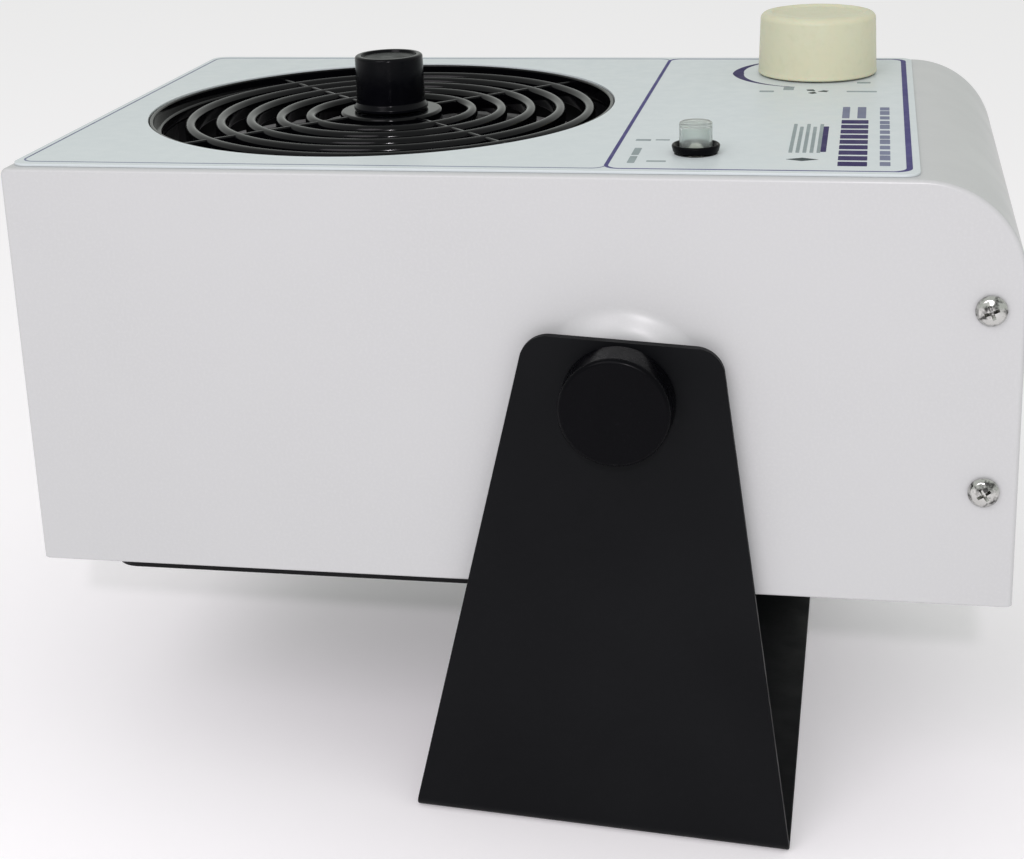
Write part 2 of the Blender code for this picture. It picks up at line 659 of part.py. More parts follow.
def speed_control():
    """The ivory knob on the shaft of a rotary control, with its nut under the knob."""
    seat = LABEL_TOP + 0.0004
    height = KNOB_TOP - seat
    bore = CONTROL_SHAFT_RADIUS + GAP
    profile = [(0, height - 0.0007), (0.0105, height - 0.0007), (0.0118, height - 0.0001),
               (0.0126, height - 0.0002), (0.0139, height - 0.0010), (0.0146, height - 0.0026),
               (0.0148, height - 0.0050), (KNOB_RADIUS, 0.0010), (0.0157, 0.0008), (0.0157, 0),
               (0.0095, 0), (0.0095, 0.0036), (bore, 0.0036), (bore, 0.0110), (0, 0.0110)]
    paint(turned("speed_knob", profile, (KNOB_X, KNOB_Y, seat), steps=32), "ivory_plastic")
    paint(rod("control_shaft", CONTROL_SHAFT_RADIUS, (KNOB_X, KNOB_Y, 0.076),
              (KNOB_X, KNOB_Y, seat + 0.0107), sides=16), "steel")
    body = [(bore, LABEL_TOP + 0.0022), (BUSHING_RADIUS, LABEL_TOP + 0.0022),
            (BUSHING_RADIUS, DEPTH - WALL - GAP), (0.0115, DEPTH - WALL - GAP), (0.0115, 0.0755),
            (bore, 0.0755)]
    paint(turned("speed_control", body, (KNOB_X, KNOB_Y, 0), steps=SMALL_ROUND), "grey_plastic")
    nut = [circle(KNOB_X, KNOB_Y, 0.0075, 6), circle(KNOB_X, KNOB_Y, BUSHING_RADIUS + GAP, 24)]
    paint(plate("control_nut", nut, LABEL_TOP + GAP, LABEL_TOP + 0.0020), "brass")


def power_button():
    """A push-button with a clear cap over its lamp, in a black bezel on a barrel switch."""
    seat = LABEL_TOP + GAP
    bezel = [(CAP_RADIUS + 0.0005, seat), (CAP_RADIUS + 0.0005, seat + 0.0012),
             (0.0046, seat + 0.0019), (BEZEL_RADIUS, seat + 0.0014), (0.0051, seat + 0.0003),
             (0.0048, seat)]
    paint(turned("button_bezel", bezel, (BUTTON_X, BUTTON_Y, 0), steps=SMALL_ROUND), "black_plastic")
    cap = [(0, CAP_TOP), (CAP_RADIUS - 0.0005, CAP_TOP), (CAP_RADIUS, CAP_TOP - 0.0005),
           (CAP_RADIUS, 0.0954), (0.0028, 0.0954), (0.0028, CAP_TOP - 0.001), (0, CAP_TOP - 0.001)]
    paint(turned("button_cap", cap, (BUTTON_X, BUTTON_Y, 0), steps=SMALL_ROUND), "clear_plastic")
    lamp = [(0, 0.0972), (0.0010, 0.0969), (0.0017, 0.0960), (0.0017, 0.0926), (0, 0.0926)]
    paint(turned("button_lamp", lamp, (BUTTON_X, BUTTON_Y, 0), steps=12), "amber_lamp")
    barrel = [(0, 0.0922), (0.0040, 0.0922), (0.0040, LABEL_TOP), (BARREL_NECK, LABEL_TOP),
              (BARREL_NECK, DEPTH - WALL - GAP), (0.0065, DEPTH - WALL - GAP), (0.0065, 0.074),
              (0, 0.074)]
    paint(turned("switch_body", barrel, (BUTTON_X, BUTTON_Y, 0), steps=SMALL_ROUND), "black_plastic")


# ---------------------------------------------------------------- electrics

def mains_inlet():
    """The three-pin inlet in the back: a shell with an open socket, and its pins."""
    half_x, half_y = (size / 2 for size in INLET_OPENING)
    shell = box("mains_inlet", (INLET_X - half_x, -half_y, -0.0015),
                (INLET_X + half_x, half_y, 0.022))
    flange = box("inlet_flange", (INLET_X - half_x - 0.002, -half_y - 0.002, -0.0025),
                 (INLET_X + half_x + 0.002, half_y + 0.002, -GAP))
    combine(shell, flange, "UNION")
    combine(shell, box("inlet_socket", (INLET_X - 0.0120, -0.0082, -0.010),
                       (INLET_X + 0.0120, 0.0082, 0.0160)))
    paint(shell, "black_plastic")
    pins = (("line_pin", -0.007, -0.0025), ("earth_pin", 0.0, 0.0015),
            ("neutral_pin", 0.007, -0.0025))
    for name, x, y in pins:
        pin = box(name, (INLET_X + x - 0.001, y - 0.002, 0.0002),
                  (INLET_X + x + 0.001, y + 0.002, 0.0157))
        paint(bevel(pin, 0.0005, 1), "bright_zinc")


def electronics():
    """The high-voltage block, the control board and the lead to the emitters."""
    block = box("high_voltage_block", (0.139, -0.048, WALL + GAP), (0.171, -0.014, 0.032))
    paint(bevel(block, 0.0015, 1), "black_plastic")
    board = box("control_board", (0.140, 0.014, 0.0075), (0.204, 0.062, 0.0091))
    paint(board, "circuit_green")
    mains = box("supply_transformer", (0.148, 0.018, 0.0094), (0.184, 0.050, 0.038))
    paint(bevel(mains, 0.001, 1), "steel")
    route = smooth_route(((0.155, -0.031, 0.0335), (0.156, -0.030, 0.058), (0.148, -0.020, 0.078),
                          (0.1312, -0.016, 0.078)), 10)
    paint(wire("emitter_lead", route, 0.0012), "red_wire")


def build():
    front_cover()
    front_label()
    rear_panel()
    side_screws()
    stand()
    tilt_clamps()
    grille()
    emitter_cleaner()
    emitters()
    air_duct()
    fan_frame()
    fan_motor()
    impeller()
    rear_filter()
    fan_screws()
    speed_control()
    power_button()
    mains_inlet()
    electronics()


build()
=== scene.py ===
"""Looks of the bench-top ionizing air blower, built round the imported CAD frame.

Most pieces are drawn in the housing's own frame, in metres: x runs along the housing from its fan
end, y across it from the middle plane, and z from the back face to the front face. HOUSING takes
that frame to the part's frame, in which the housing leans on its tilt axis.
"""

import json
import math
import random

import bmesh
import bpy
from mathutils import Matrix, Vector, noise


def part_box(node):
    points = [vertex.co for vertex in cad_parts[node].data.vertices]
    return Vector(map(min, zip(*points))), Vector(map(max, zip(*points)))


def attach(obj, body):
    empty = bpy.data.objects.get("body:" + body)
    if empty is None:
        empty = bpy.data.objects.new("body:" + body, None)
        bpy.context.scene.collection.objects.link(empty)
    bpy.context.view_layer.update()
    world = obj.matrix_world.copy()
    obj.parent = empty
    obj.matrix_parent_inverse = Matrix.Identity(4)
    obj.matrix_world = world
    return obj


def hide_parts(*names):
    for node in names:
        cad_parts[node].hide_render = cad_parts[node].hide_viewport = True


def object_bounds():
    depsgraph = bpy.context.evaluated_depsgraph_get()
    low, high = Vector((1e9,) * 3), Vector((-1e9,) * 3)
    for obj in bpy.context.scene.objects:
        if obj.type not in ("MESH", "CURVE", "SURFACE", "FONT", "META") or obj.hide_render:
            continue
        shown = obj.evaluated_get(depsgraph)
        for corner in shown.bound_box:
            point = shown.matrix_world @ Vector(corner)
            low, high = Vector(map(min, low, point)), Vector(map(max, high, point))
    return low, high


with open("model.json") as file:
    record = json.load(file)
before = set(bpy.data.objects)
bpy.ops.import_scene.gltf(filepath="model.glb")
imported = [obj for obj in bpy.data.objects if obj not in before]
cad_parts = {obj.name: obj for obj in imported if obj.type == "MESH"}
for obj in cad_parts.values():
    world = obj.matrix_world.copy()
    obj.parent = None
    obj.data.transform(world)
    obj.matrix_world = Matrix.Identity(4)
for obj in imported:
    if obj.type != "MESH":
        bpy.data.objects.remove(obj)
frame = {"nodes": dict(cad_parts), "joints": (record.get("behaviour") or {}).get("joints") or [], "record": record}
cad_low, cad_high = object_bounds()

MM = 0.001

# ---------------------------------------------------------------- places from the frame

JOINTS = {joint["name"]: joint for joint in frame["joints"]}
UP = Vector(JOINTS["fan_spin"]["axis"]).normalized()
ACROSS = Vector((0, 1, 0))
TURN = Matrix((ACROSS.cross(UP), ACROSS, UP)).transposed()


def extent(node, turn=TURN, origin=Vector((0, 0, 0))):
    """Lowest and highest corner of a CAD node in a turned frame."""
    back = turn.transposed()
    points = [back @ (vertex.co - origin) for vertex in frame["nodes"][node].data.vertices]
    low = Vector([min(p[i] for p in points) for i in range(3)])
    high = Vector([max(p[i] for p in points) for i in range(3)])
    return low, high


_cover = extent("front_cover")
ORIGIN = TURN @ Vector((_cover[0].x, 0, _cover[0].z))
HOUSING = Matrix.Translation(ORIGIN) @ TURN.to_4x4()


def local(node):
    """Lowest and highest corner of a CAD node in the housing's frame."""
    return extent(node, TURN, ORIGIN)


def centre(node):
    """Middle of a CAD node's box in the housing's frame."""
    low, high = local(node)
    return (low + high) / 2


LENGTH = local("front_cover")[1].x
TILT_AXIS = Vector(JOINTS["tilt"]["pos_m"])
PIVOT = HOUSING.inverted() @ TILT_AXIS
LABEL_LOW, LABEL_HIGH = local("front_label")
GRILLE_LOW, GRILLE_HIGH = local("front_grille")
FAN = centre("front_grille")
KNOB = centre("speed_knob")
KNOB_LOW, KNOB_HIGH = local("speed_knob")
BUTTON = centre("button_cap")

# housing: depth, half width, sheet and edges
DEPTH = 94.3 * MM
HALF = 70.0 * MM
WALL = 1.5 * MM
END_RADIUS = 22 * MM
FAN_END_RADIUS = 1.8 * MM
RIM = 1.0 * MM
BOSS_RADIUS = 0.0192
BOSS_TAPER = 0.0064
BOSS_RISE = 0.00218
LABEL_CORNER = 0.0035
SCREW_SEAT = HALF + 0.0003

# radii of the holes, and half the length of a cutter that goes right through
SHAFT_BORE = 0.0033
STUD_HOLE = 0.0036
KNOB_HOLE = 0.0049
BUTTON_HOLE = 0.0047
THROUGH = 0.1

# outlet and grille: ring radii in millimetres, spokes as (direction in degrees, reach)
OUTLET_X = FAN.x - 2 * MM
OUTLET_RADIUS = 57.8 * MM
RING_TOP = GRILLE_HIGH.z - 0.7 * MM
RING_COUNT = 5
FIRST_RING = 20.1
RING_PITCH = 7.37
HUB_RADIUS = 0.0127
RIM_INNER, RIM_OUTER = 0.0565, 0.061
COLLAR_INNER, COLLAR_OUTER = 0.0566, 0.0575
SPOKE_HALF = 0.0006
SPOKES = ((45, 0.0556), (135, 0.0584), (225, 0.0584), (315, 0.0556))


# ---------------------------------------------------------------- shapes

def rounded(points, closed=False, steps=5):
    """A polyline with rounded corners. Each point is (x, y) or (x, y, corner radius)."""
    out = []
    count = len(points)
    for i, point in enumerate(points):
        here = Vector(point[:2])
        radius = point[2] if len(point) > 2 else 0
        if radius <= 0 or (not closed and i in (0, count - 1)):
            out.append((here.x, here.y))
            continue
        before = Vector(points[i - 1][:2]) - here
        after = Vector(points[(i + 1) % count][:2]) - here
        half = before.angle(after) / 2
        reach = min(radius / math.tan(half), before.length * 0.49, after.length * 0.49)
        radius = reach * math.tan(half)
        middle = here + (before.normalized() + after.normalized()).normalized() * (
            radius / math.sin(half))
        start = here + before.normalized() * reach - middle
        end = here + after.normalized() * reach - middle
        first = math.atan2(start.y, start.x)
        sweep = (math.atan2(end.y, end.x) - first + math.pi) % (2 * math.pi) - math.pi
        for step in range(steps + 1):
            angle = first + sweep * step / steps
            out.append((middle.x + radius * math.cos(angle), middle.y + radius * math.sin(angle)))
    return out


def arc(cx, cy, radius, start, end, steps):
    """Points on an arc, angles in degrees."""
    angles = [math.radians(start + (end - start) * i / steps) for i in range(steps + 1)]
    return [(cx + radius * math.cos(a), cy + radius * math.sin(a)) for a in angles]


def ring(cx, cy, radius, steps=96):
    """Points on a full circle."""
    return arc(cx, cy, radius, 0, 360, steps)[:-1]


def block(x0, y0, x1, y1, radius=0.0, steps=5):
    """A rectangle with rounded corners."""
    corners = [(x0, y0, radius), (x1, y0, radius), (x1, y1, radius), (x0, y1, radius)]
    return rounded(corners, True, steps)


def finish_mesh(bm, name, sharp=35):
    """The mesh of bm, smooth but for edges sharper than the given angle, and frees bm."""
    bmesh.ops.remove_doubles(bm, verts=bm.verts, dist=1e-7)
    bmesh.ops.recalc_face_normals(bm, faces=bm.faces)
    mesh = bpy.data.meshes.new(name)
    bm.to_mesh(mesh)
    bm.free()
    mesh.shade_smooth()
    mesh.set_sharp_from_angle(angle=math.radians(sharp))
    return mesh


def lathe(name, profile, steps=96, closed=False, sharp=35):
    """A turned mesh about Z. The profile is (radius, height) points; a closed one makes a ring."""
    bm = bmesh.new()
    circles = []
    for radius, height in profile:
        if radius < 1e-6:
            circles.append([bm.verts.new((0, 0, height))])
            continue
        angles = [2 * math.pi * k / steps for k in range(steps)]
        circles.append([bm.verts.new((radius * math.cos(a), radius * math.sin(a), height))
                        for a in angles])
    pairs = list(zip(circles, circles[1:]))
    if closed:
        pairs.append((circles[-1], circles[0]))
    for a, b in pairs:
        for k in range(steps):
            n = (k + 1) % steps
            corners = [a[k % len(a)], a[n % len(a)], b[n % len(b)], b[k % len(b)]]
            unique = list(dict.fromkeys(corners))
            if len(unique) > 2:
                bm.faces.new(unique)
    return finish_mesh(bm, name, sharp)


def plate(name, outlines, low, high, edge=0.0002, steps=2, sharp=35):
    """A flat plate in XY from one outline and any holes in it, with rounded edges."""
    curve = bpy.data.curves.new(name, "CURVE")
    curve.dimensions = "2D"
    curve.fill_mode = "BOTH"
    curve.extrude = (high - low) / 2 - edge
    curve.bevel_depth = edge
    curve.bevel_resolution = steps
    curve.offset = -edge
    for outline in outlines:
        spline = curve.splines.new("POLY")
        spline.points.add(len(outline) - 1)
        for point, (x, y) in zip(spline.points, outline):
            point.co = (x, y, 0, 1)
        spline.use_cyclic_u = True
    shape = bpy.data.objects.new(name, curve)
    bpy.context.scene.collection.objects.link(shape)
    bpy.context.view_layer.update()
    graph = bpy.context.evaluated_depsgraph_get()
    raw = bpy.data.meshes.new_from_object(shape.evaluated_get(graph))
    bpy.data.objects.remove(shape)
    bm = bmesh.new()
    bm.from_mesh(raw)
    bpy.data.meshes.remove(raw)
    bmesh.ops.translate(bm, verts=bm.verts, vec=(0, 0, (low + high) / 2))
    return finish_mesh(bm, name, sharp)


def ribbon(bm, points, widths, low, high, closed=False):
    """A flat printed line along points, with a width at each, added to bm."""
    count = len(points)
    rows = []
    for i, (x, y) in enumerate(points):
        if closed:
            a, b = points[i - 1], points[(i + 1) % count]
        else:
            a, b = points[max(i - 1, 0)], points[min(i + 1, count - 1)]
        along = Vector((b[0] - a[0], b[1] - a[1])).normalized()
        side = Vector((-along.y, along.x)) * widths[i] / 2
        rows.append([bm.verts.new((x + sx * side.x, y + sx * side.y, z))
                     for sx, z in ((-1, low), (1, low), (1, high), (-1, high))])
    pairs = list(zip(rows, rows[1:]))
    if closed:
        pairs.append((rows[-1], rows[0]))
    else:
        bm.faces.new(rows[0])
        bm.faces.new(rows[-1])
    for a, b in pairs:
        for k in range(4):
            n = (k + 1) % 4
            bm.faces.new((a[k], a[n], b[n], b[k]))


def patch(bm, outline, low, high):
    """A flat printed patch, added to bm."""
    bottom = [bm.verts.new((x, y, low)) for x, y in outline]
    top = [bm.verts.new((x, y, high)) for x, y in outline]
    bm.faces.new(bottom)
    bm.faces.new(top)
    for k in range(len(outline)):
        n = (k + 1) % len(outline)
        bm.faces.new((bottom[k], bottom[n], top[n], top[k]))


def joined(name, meshes):
    """Several meshes in one, each with its own matrix."""
    bm = bmesh.new()
    for mesh, matrix in meshes:
        part = mesh.copy()
        part.transform(matrix)
        bm.from_mesh(part)
        bpy.data.meshes.remove(part)
    out = bpy.data.meshes.new(name)
    bm.to_mesh(out)
    bm.free()
    return out


def boolean(name, base, tools, sharp=35, bevel=0.0):
    """The base mesh after (tool mesh, operation) steps, and then rounded edges."""
    scene = bpy.context.scene.collection
    obj = bpy.data.objects.new(name, base)
    scene.objects.link(obj)
    helpers = []
    for tool, operation in tools:
        helper = bpy.data.objects.new(name + "_tool", tool)
        scene.objects.link(helper)
        helpers.append(helper)
        modifier = obj.modifiers.new(operation, "BOOLEAN")
        modifier.operation = operation
        modifier.solver = "EXACT"
        modifier.object = helper
    if bevel:
        modifier = obj.modifiers.new("bevel", "BEVEL")
        modifier.width = bevel
        modifier.segments = 2
        modifier.limit_method = "ANGLE"
        modifier.angle_limit = math.radians(40)
        modifier.harden_normals = False
    bpy.context.view_layer.update()
    graph = bpy.context.evaluated_depsgraph_get()
    mesh = bpy.data.meshes.new_from_object(obj.evaluated_get(graph))
    mesh.name = name
    for helper in helpers:
        bpy.data.objects.remove(helper)
    bpy.data.objects.remove(obj)
    mesh.shade_smooth()
    mesh.set_sharp_from_angle(angle=math.radians(sharp))
    return mesh


def moved(mesh, matrix):
    mesh.transform(matrix)
    return mesh


def at(x, y, z):
    return Matrix.Translation((x, y, z))


SIDEWAYS = Matrix.Rotation(math.pi / 2, 4, "X")


def pin(radius, half, steps):
    """A plain cylinder about Z, half its length either side of the origin, to cut a hole with."""
    return lathe("hole", [(0, -half), (radius, -half), (radius, half), (0, half)], steps)


# ---------------------------------------------------------------- materials

class Finish:
    """A Principled material in object coordinates, with helpers for procedural detail."""

    def __init__(self, name, colour, roughness, metallic=0.0, **inputs):
        self.material = bpy.data.materials.new(name)
        self.material.use_nodes = True
        self.tree = self.material.node_tree
        self.shader = self.tree.nodes["Principled BSDF"]
        self.shader.inputs["Base Color"].default_value = (*colour, 1.0)
        self.shader.inputs["Roughness"].default_value = roughness
        self.shader.inputs["Metallic"].default_value = metallic
        for key, value in inputs.items():
            self.shader.inputs[key.replace("_", " ")].default_value = value
        self.colour = colour
        self.roughness = roughness
        self.coordinates = self.node("ShaderNodeTexCoord").outputs["Object"]
        self.heights = []

    def node(self, kind, **settings):
        made = self.tree.nodes.new(kind)
        for key, value in settings.items():
            setattr(made, key, value)
        return made

    def link(self, source, target):
        self.tree.links.new(source, target)

    def noise(self, scale, detail=3.0, stretch=None, rough=0.55):
        """A noise texture with features of 1 / scale metres."""
        source = self.coordinates
        if stretch:
            mapping = self.node("ShaderNodeMapping")
            mapping.inputs["Scale"].default_value = stretch
            self.link(source, mapping.inputs["Vector"])
            source = mapping.outputs["Vector"]
        texture = self.node("ShaderNodeTexNoise")
        texture.inputs["Scale"].default_value = scale
        texture.inputs["Detail"].default_value = detail
        texture.inputs["Roughness"].default_value = rough
        self.link(source, texture.inputs["Vector"])
        return texture.outputs["Fac"]

    def cells(self, scale, feature="F1"):
        texture = self.node("ShaderNodeTexVoronoi", feature=feature)
        texture.inputs["Scale"].default_value = scale
        self.link(self.coordinates, texture.inputs["Vector"])
        return texture.outputs["Distance"]

    def ramp(self, source, low, high, start=0.35, end=0.65):
        """Maps a value between start and end to low and high."""
        remap = self.node("ShaderNodeMapRange")
        remap.inputs["From Min"].default_value = start
        remap.inputs["From Max"].default_value = end
        remap.inputs["To Min"].default_value = low
        remap.inputs["To Max"].default_value = high
        self.link(source, remap.inputs["Value"])
        return remap.outputs["Result"]

    def tint(self, source, other, start=0.35, end=0.65):
        """Mixes the colour so far with another one where source is high."""
        mix = self.node("ShaderNodeMix", data_type="RGBA")
        self.link(self.ramp(source, 0.0, 1.0, start, end), mix.inputs["Factor"])
        base = self.shader.inputs["Base Color"]
        if base.is_linked:
            self.link(base.links[0].from_socket, mix.inputs["A"])
        else:
            mix.inputs["A"].default_value = (*self.colour, 1.0)
        mix.inputs["B"].default_value = (*other, 1.0)
        self.link(mix.outputs["Result"], base)
        return self

    def vary_roughness(self, source, amount, start=0.35, end=0.65):
        value = self.ramp(source, self.roughness - amount, self.roughness + amount, start, end)
        self.link(value, self.shader.inputs["Roughness"])
        return self

    def bump(self, source, depth, strength=1.0):
        """Adds a relief of the given depth in metres."""
        bump = self.node("ShaderNodeBump")
        bump.inputs["Strength"].default_value = strength
        bump.inputs["Distance"].default_value = depth
        self.link(source, bump.inputs["Height"])
        if self.heights:
            self.link(self.heights[-1], bump.inputs["Normal"])
        self.heights.append(bump.outputs["Normal"])
        self.link(bump.outputs["Normal"], self.shader.inputs["Normal"])
        return self

    def painted_edge_light(self, colour, radius, start=0.02, end=0.2, breakup=400):
        """Paints light and shade into narrow strips along convex edges, broken up by noise: a colour lighter than
        the surface is a painted highlight, a darker one is painted shade.
        """
        soft = self.node("ShaderNodeBevel", samples=4)
        soft.inputs["Radius"].default_value = radius
        geometry = self.node("ShaderNodeNewGeometry")
        dot = self.node("ShaderNodeVectorMath", operation="DOT_PRODUCT")
        self.link(soft.outputs["Normal"], dot.inputs[0])
        self.link(geometry.outputs["Normal"], dot.inputs[1])
        edge = self.ramp(dot.outputs["Value"], 1.0, 0.0, 1 - end, 1 - start)
        times = self.node("ShaderNodeMath", operation="MULTIPLY")
        self.link(edge, times.inputs[0])
        self.link(self.ramp(self.noise(breakup, 4.0), 0.0, 1.0, 0.42, 0.62), times.inputs[1])
        return self.tint(times.outputs["Value"], colour, 0.0, 1.0)


def scaled(colour, factor):
    return tuple(min(channel * factor, 1.0) for channel in colour)


def paint_finish(name, colour, roughness):
    """Powder-coated sheet: fine orange peel, faint handling marks, and painted shade along its convex edges."""
    made = Finish(name, colour, roughness, Specular_IOR_Level=0.45)
    made.tint(made.noise(18, 4.0), scaled(colour, 0.975), 0.4, 0.75)
    made.tint(made.noise(1500, 2.0), scaled(colour, 1.02), 0.45, 0.7)
    made.vary_roughness(made.noise(60, 2.0), 0.03)
    made.bump(made.noise(700, 2.0), 0.00001, 0.4)
    made.bump(made.noise(2600, 2.0), 0.000004, 0.3)
    # painted shade: the convex edges are darkened, standing in for the shading of the rounded edges
    return made.painted_edge_light(scaled(colour, 0.9), 0.0006)


def plastic(name, colour, roughness, specular=0.5, grain=0.4, mottle=0.86, **inputs):
    """Moulded plastic: faint flow variation and a fine mould texture."""
    made = Finish(name, colour, roughness, Specular_IOR_Level=specular, **inputs)
    made.tint(made.noise(90, 3.0), scaled(colour, mottle), 0.4, 0.7)
    made.vary_roughness(made.noise(260, 4.0), min(0.07, roughness * 0.35))
    made.bump(made.noise(1800, 2.0), 0.000008, grain)
    return made


def metal(name, colour, roughness, stretch=(1, 1, 1), scale=900, grime_and_reflection=0.6, patches=350):
    """Plated or machined metal: drawn grain and darker patches; on the bright zinc the darker patches are painted
    reflection.
    """
    made = Finish(name, colour, roughness, 1.0)
    made.tint(made.noise(patches, 4.0), scaled(colour, grime_and_reflection), 0.5, 0.65)
    made.vary_roughness(made.noise(scale, 3.0, stretch), 0.09)
    made.bump(made.noise(scale, 3.0, stretch), 0.00001, 0.5)
    return made


def make_finishes():
    white = (0.512, 0.515, 0.521)
    film = (0.625, 0.672, 0.690)
    made = {
        "white_paint": paint_finish("white_paint", white, 0.31),
        "label_film": plastic("label_film", film, 0.38, 0.3, 0.2, 0.985),
        "black_plastic": plastic("black_plastic", (0.005, 0.005, 0.006), 0.36, 0.14),
        "gloss_black": plastic("gloss_black", (0.0015, 0.0015, 0.0022), 0.12, 0.17, 0.1),
        "cleaner_black": plastic("cleaner_black", (0.0020, 0.0020, 0.0032), 0.16, 0.10, 0.2),
        "satin_black": plastic("satin_black", (0.0016, 0.0016, 0.0024), 0.28, 0.055, 0.3),
        # the disc's lighter colour is a painted reflection of the light from above on the knob's top
        "disc_black_painted_light": plastic("disc_black_painted_light", (0.017, 0.019, 0.019), 0.42, 0.15, 0.3),
        "clear_plastic": Finish("clear_plastic", (0.84, 0.89, 0.87), 0.20,
                                Transmission_Weight=0.88, IOR=1.42),
        "grey_plastic": plastic("grey_plastic", (0.47, 0.46, 0.47), 0.45, 0.4),
        # painted reflection: the screw heads' dark patches stand in for dark surroundings mirrored in the plated
        # heads
        "bright_zinc": metal("bright_zinc", (0.55, 0.55, 0.53), 0.18, grime_and_reflection=0.14, patches=620),
        "steel": metal("steel", (0.50, 0.50, 0.51), 0.32, (1, 1, 12)),
        "brass": metal("brass", (0.60, 0.45, 0.20), 0.32, (1, 1, 10)),
        "copper": metal("copper", (0.50, 0.20, 0.09), 0.40, (1, 1, 40), 500),
        "circuit_green": plastic("circuit_green", (0.02, 0.15, 0.06), 0.45),
        "red_wire": plastic("red_wire", (0.42, 0.03, 0.02), 0.42),
        # painted highlight: the lamp's colour is raised to a pale cream so it shows as the bright spot low in the
        # clear cap
        "amber_lamp": plastic("amber_lamp", (0.80, 0.76, 0.68), 0.18, 0.5, 0.2),
        "bristle": plastic("bristle", (0.50, 0.44, 0.34), 0.75, 0.3),
        "ink_violet": plastic("ink_violet", (0.070, 0.060, 0.200), 0.55, 0.1),
        "ink_navy": plastic("ink_navy", (0.035, 0.024, 0.110), 0.55, 0.1),
        "ink_slate": plastic("ink_slate", (0.200, 0.215, 0.310), 0.55, 0.1),
        "ink_grey": plastic("ink_grey", (0.300, 0.350, 0.360), 0.55, 0.1),
        "ink_black": plastic("ink_black", (0.050, 0.065, 0.070), 0.55, 0.1),
    }
    ivory = Finish("ivory_plastic", (0.625, 0.620, 0.460), 0.42, Specular_IOR_Level=0.35,
                   Subsurface_Weight=0.18, Subsurface_Scale=0.0015)
    ivory.tint(ivory.noise(55, 3.0), (0.620, 0.600, 0.430), 0.4, 0.7)
    ivory.tint(ivory.noise(500, 3.0), (0.590, 0.590, 0.425), 0.5, 0.8)
    ivory.vary_roughness(ivory.noise(200, 4.0), 0.06)
    ivory.bump(ivory.noise(1300, 2.0), 0.00001, 0.4)
    made["ivory_plastic"] = ivory

    enamel = Finish("black_enamel", (0.0040, 0.0043, 0.0052), 0.50, Specular_IOR_Level=0.08)
    enamel.tint(enamel.noise(30, 4.0), (0.0056, 0.0060, 0.0070), 0.4, 0.7)
    enamel.vary_roughness(enamel.noise(120, 4.0), 0.08)
    enamel.bump(enamel.noise(1100, 2.0), 0.00003, 0.5)
    enamel.bump(enamel.cells(2200), 0.00001, 0.4)
    # painted highlight: the bracket's convex edges are lightened, standing in for light caught on the edges
    enamel.painted_edge_light((0.009, 0.009, 0.010), 0.0005)
    made["black_enamel"] = enamel

    rubber = Finish("rubber", (0.016, 0.016, 0.016), 0.8, Specular_IOR_Level=0.25)
    rubber.tint(rubber.noise(400, 4.0), (0.026, 0.026, 0.026))
    rubber.vary_roughness(rubber.noise(300), 0.08)
    rubber.bump(rubber.noise(2500), 0.00002)
    made["rubber"] = rubber

    foam = Finish("foam", (0.018, 0.018, 0.019), 0.95, Specular_IOR_Level=0.1)
    foam.tint(foam.cells(1400), (0.050, 0.050, 0.052), 0.25, 0.6)
    foam.vary_roughness(foam.noise(600), 0.05)
    foam.bump(foam.cells(1400), 0.0003)
    made["foam"] = foam

    clear = made["clear_plastic"]
    clear.tint(clear.noise(300, 3.0), (0.74, 0.79, 0.76), 0.4, 0.7)
    clear.vary_roughness(clear.noise(500, 3.0), 0.03)
    clear.bump(clear.noise(900, 2.0), 0.00001, 0.3)
    return {name: finish.material for name, finish in made.items()}


FINISHES = make_finishes()


def piece(name, mesh, finish, body, nodes=(), place=HOUSING, weighted=True):
    """A finished piece: its material, the body it rides on and the CAD nodes it stands for."""
    obj = bpy.data.objects.new(name, mesh)
    mesh.name = name
    bpy.context.scene.collection.objects.link(obj)
    obj.matrix_world = place
    mesh.materials.clear()
    mesh.materials.append(FINISHES[finish])
    if weighted:
        normals = obj.modifiers.new("weighted_normals", "WEIGHTED_NORMAL")
        normals.keep_sharp = True
        normals.weight = 90
    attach(obj, body)
    if nodes:
        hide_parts(*nodes)
    return obj


# ---------------------------------------------------------------- housing

def cover_outline(inset, steps=24):
    """The side outline of the housing in XZ, from the back edge over the front to the back edge."""
    right, top = LENGTH - inset, DEPTH - inset
    fan_end = max(FAN_END_RADIUS - inset, 0.0003)
    far_end = END_RADIUS - inset
    rim = 0.0003
    return ([(inset, rim)]
            + arc(inset + fan_end, top - fan_end, fan_end, 180, 90, 6)
            + arc(right - far_end, top - far_end, far_end, 90, 0, steps)
            + [(right, rim)])


def shell_rows(bm, inset, half, radius, steps=5):
    """Rows of vertices across the housing, with rounded edges at both sides."""
    rows = []
    angles = [math.pi / 2 * i / steps for i in range(steps + 1)]
    for a in reversed(angles):
        rows.append((inset + radius * (1 - math.cos(a)), -(half - radius + radius * math.sin(a))))
    for a in angles:
        rows.append((inset + radius * (1 - math.cos(a)), half - radius + radius * math.sin(a)))
    return [[bm.verts.new((x, y, z)) for x, z in cover_outline(shift)] for shift, y in rows]


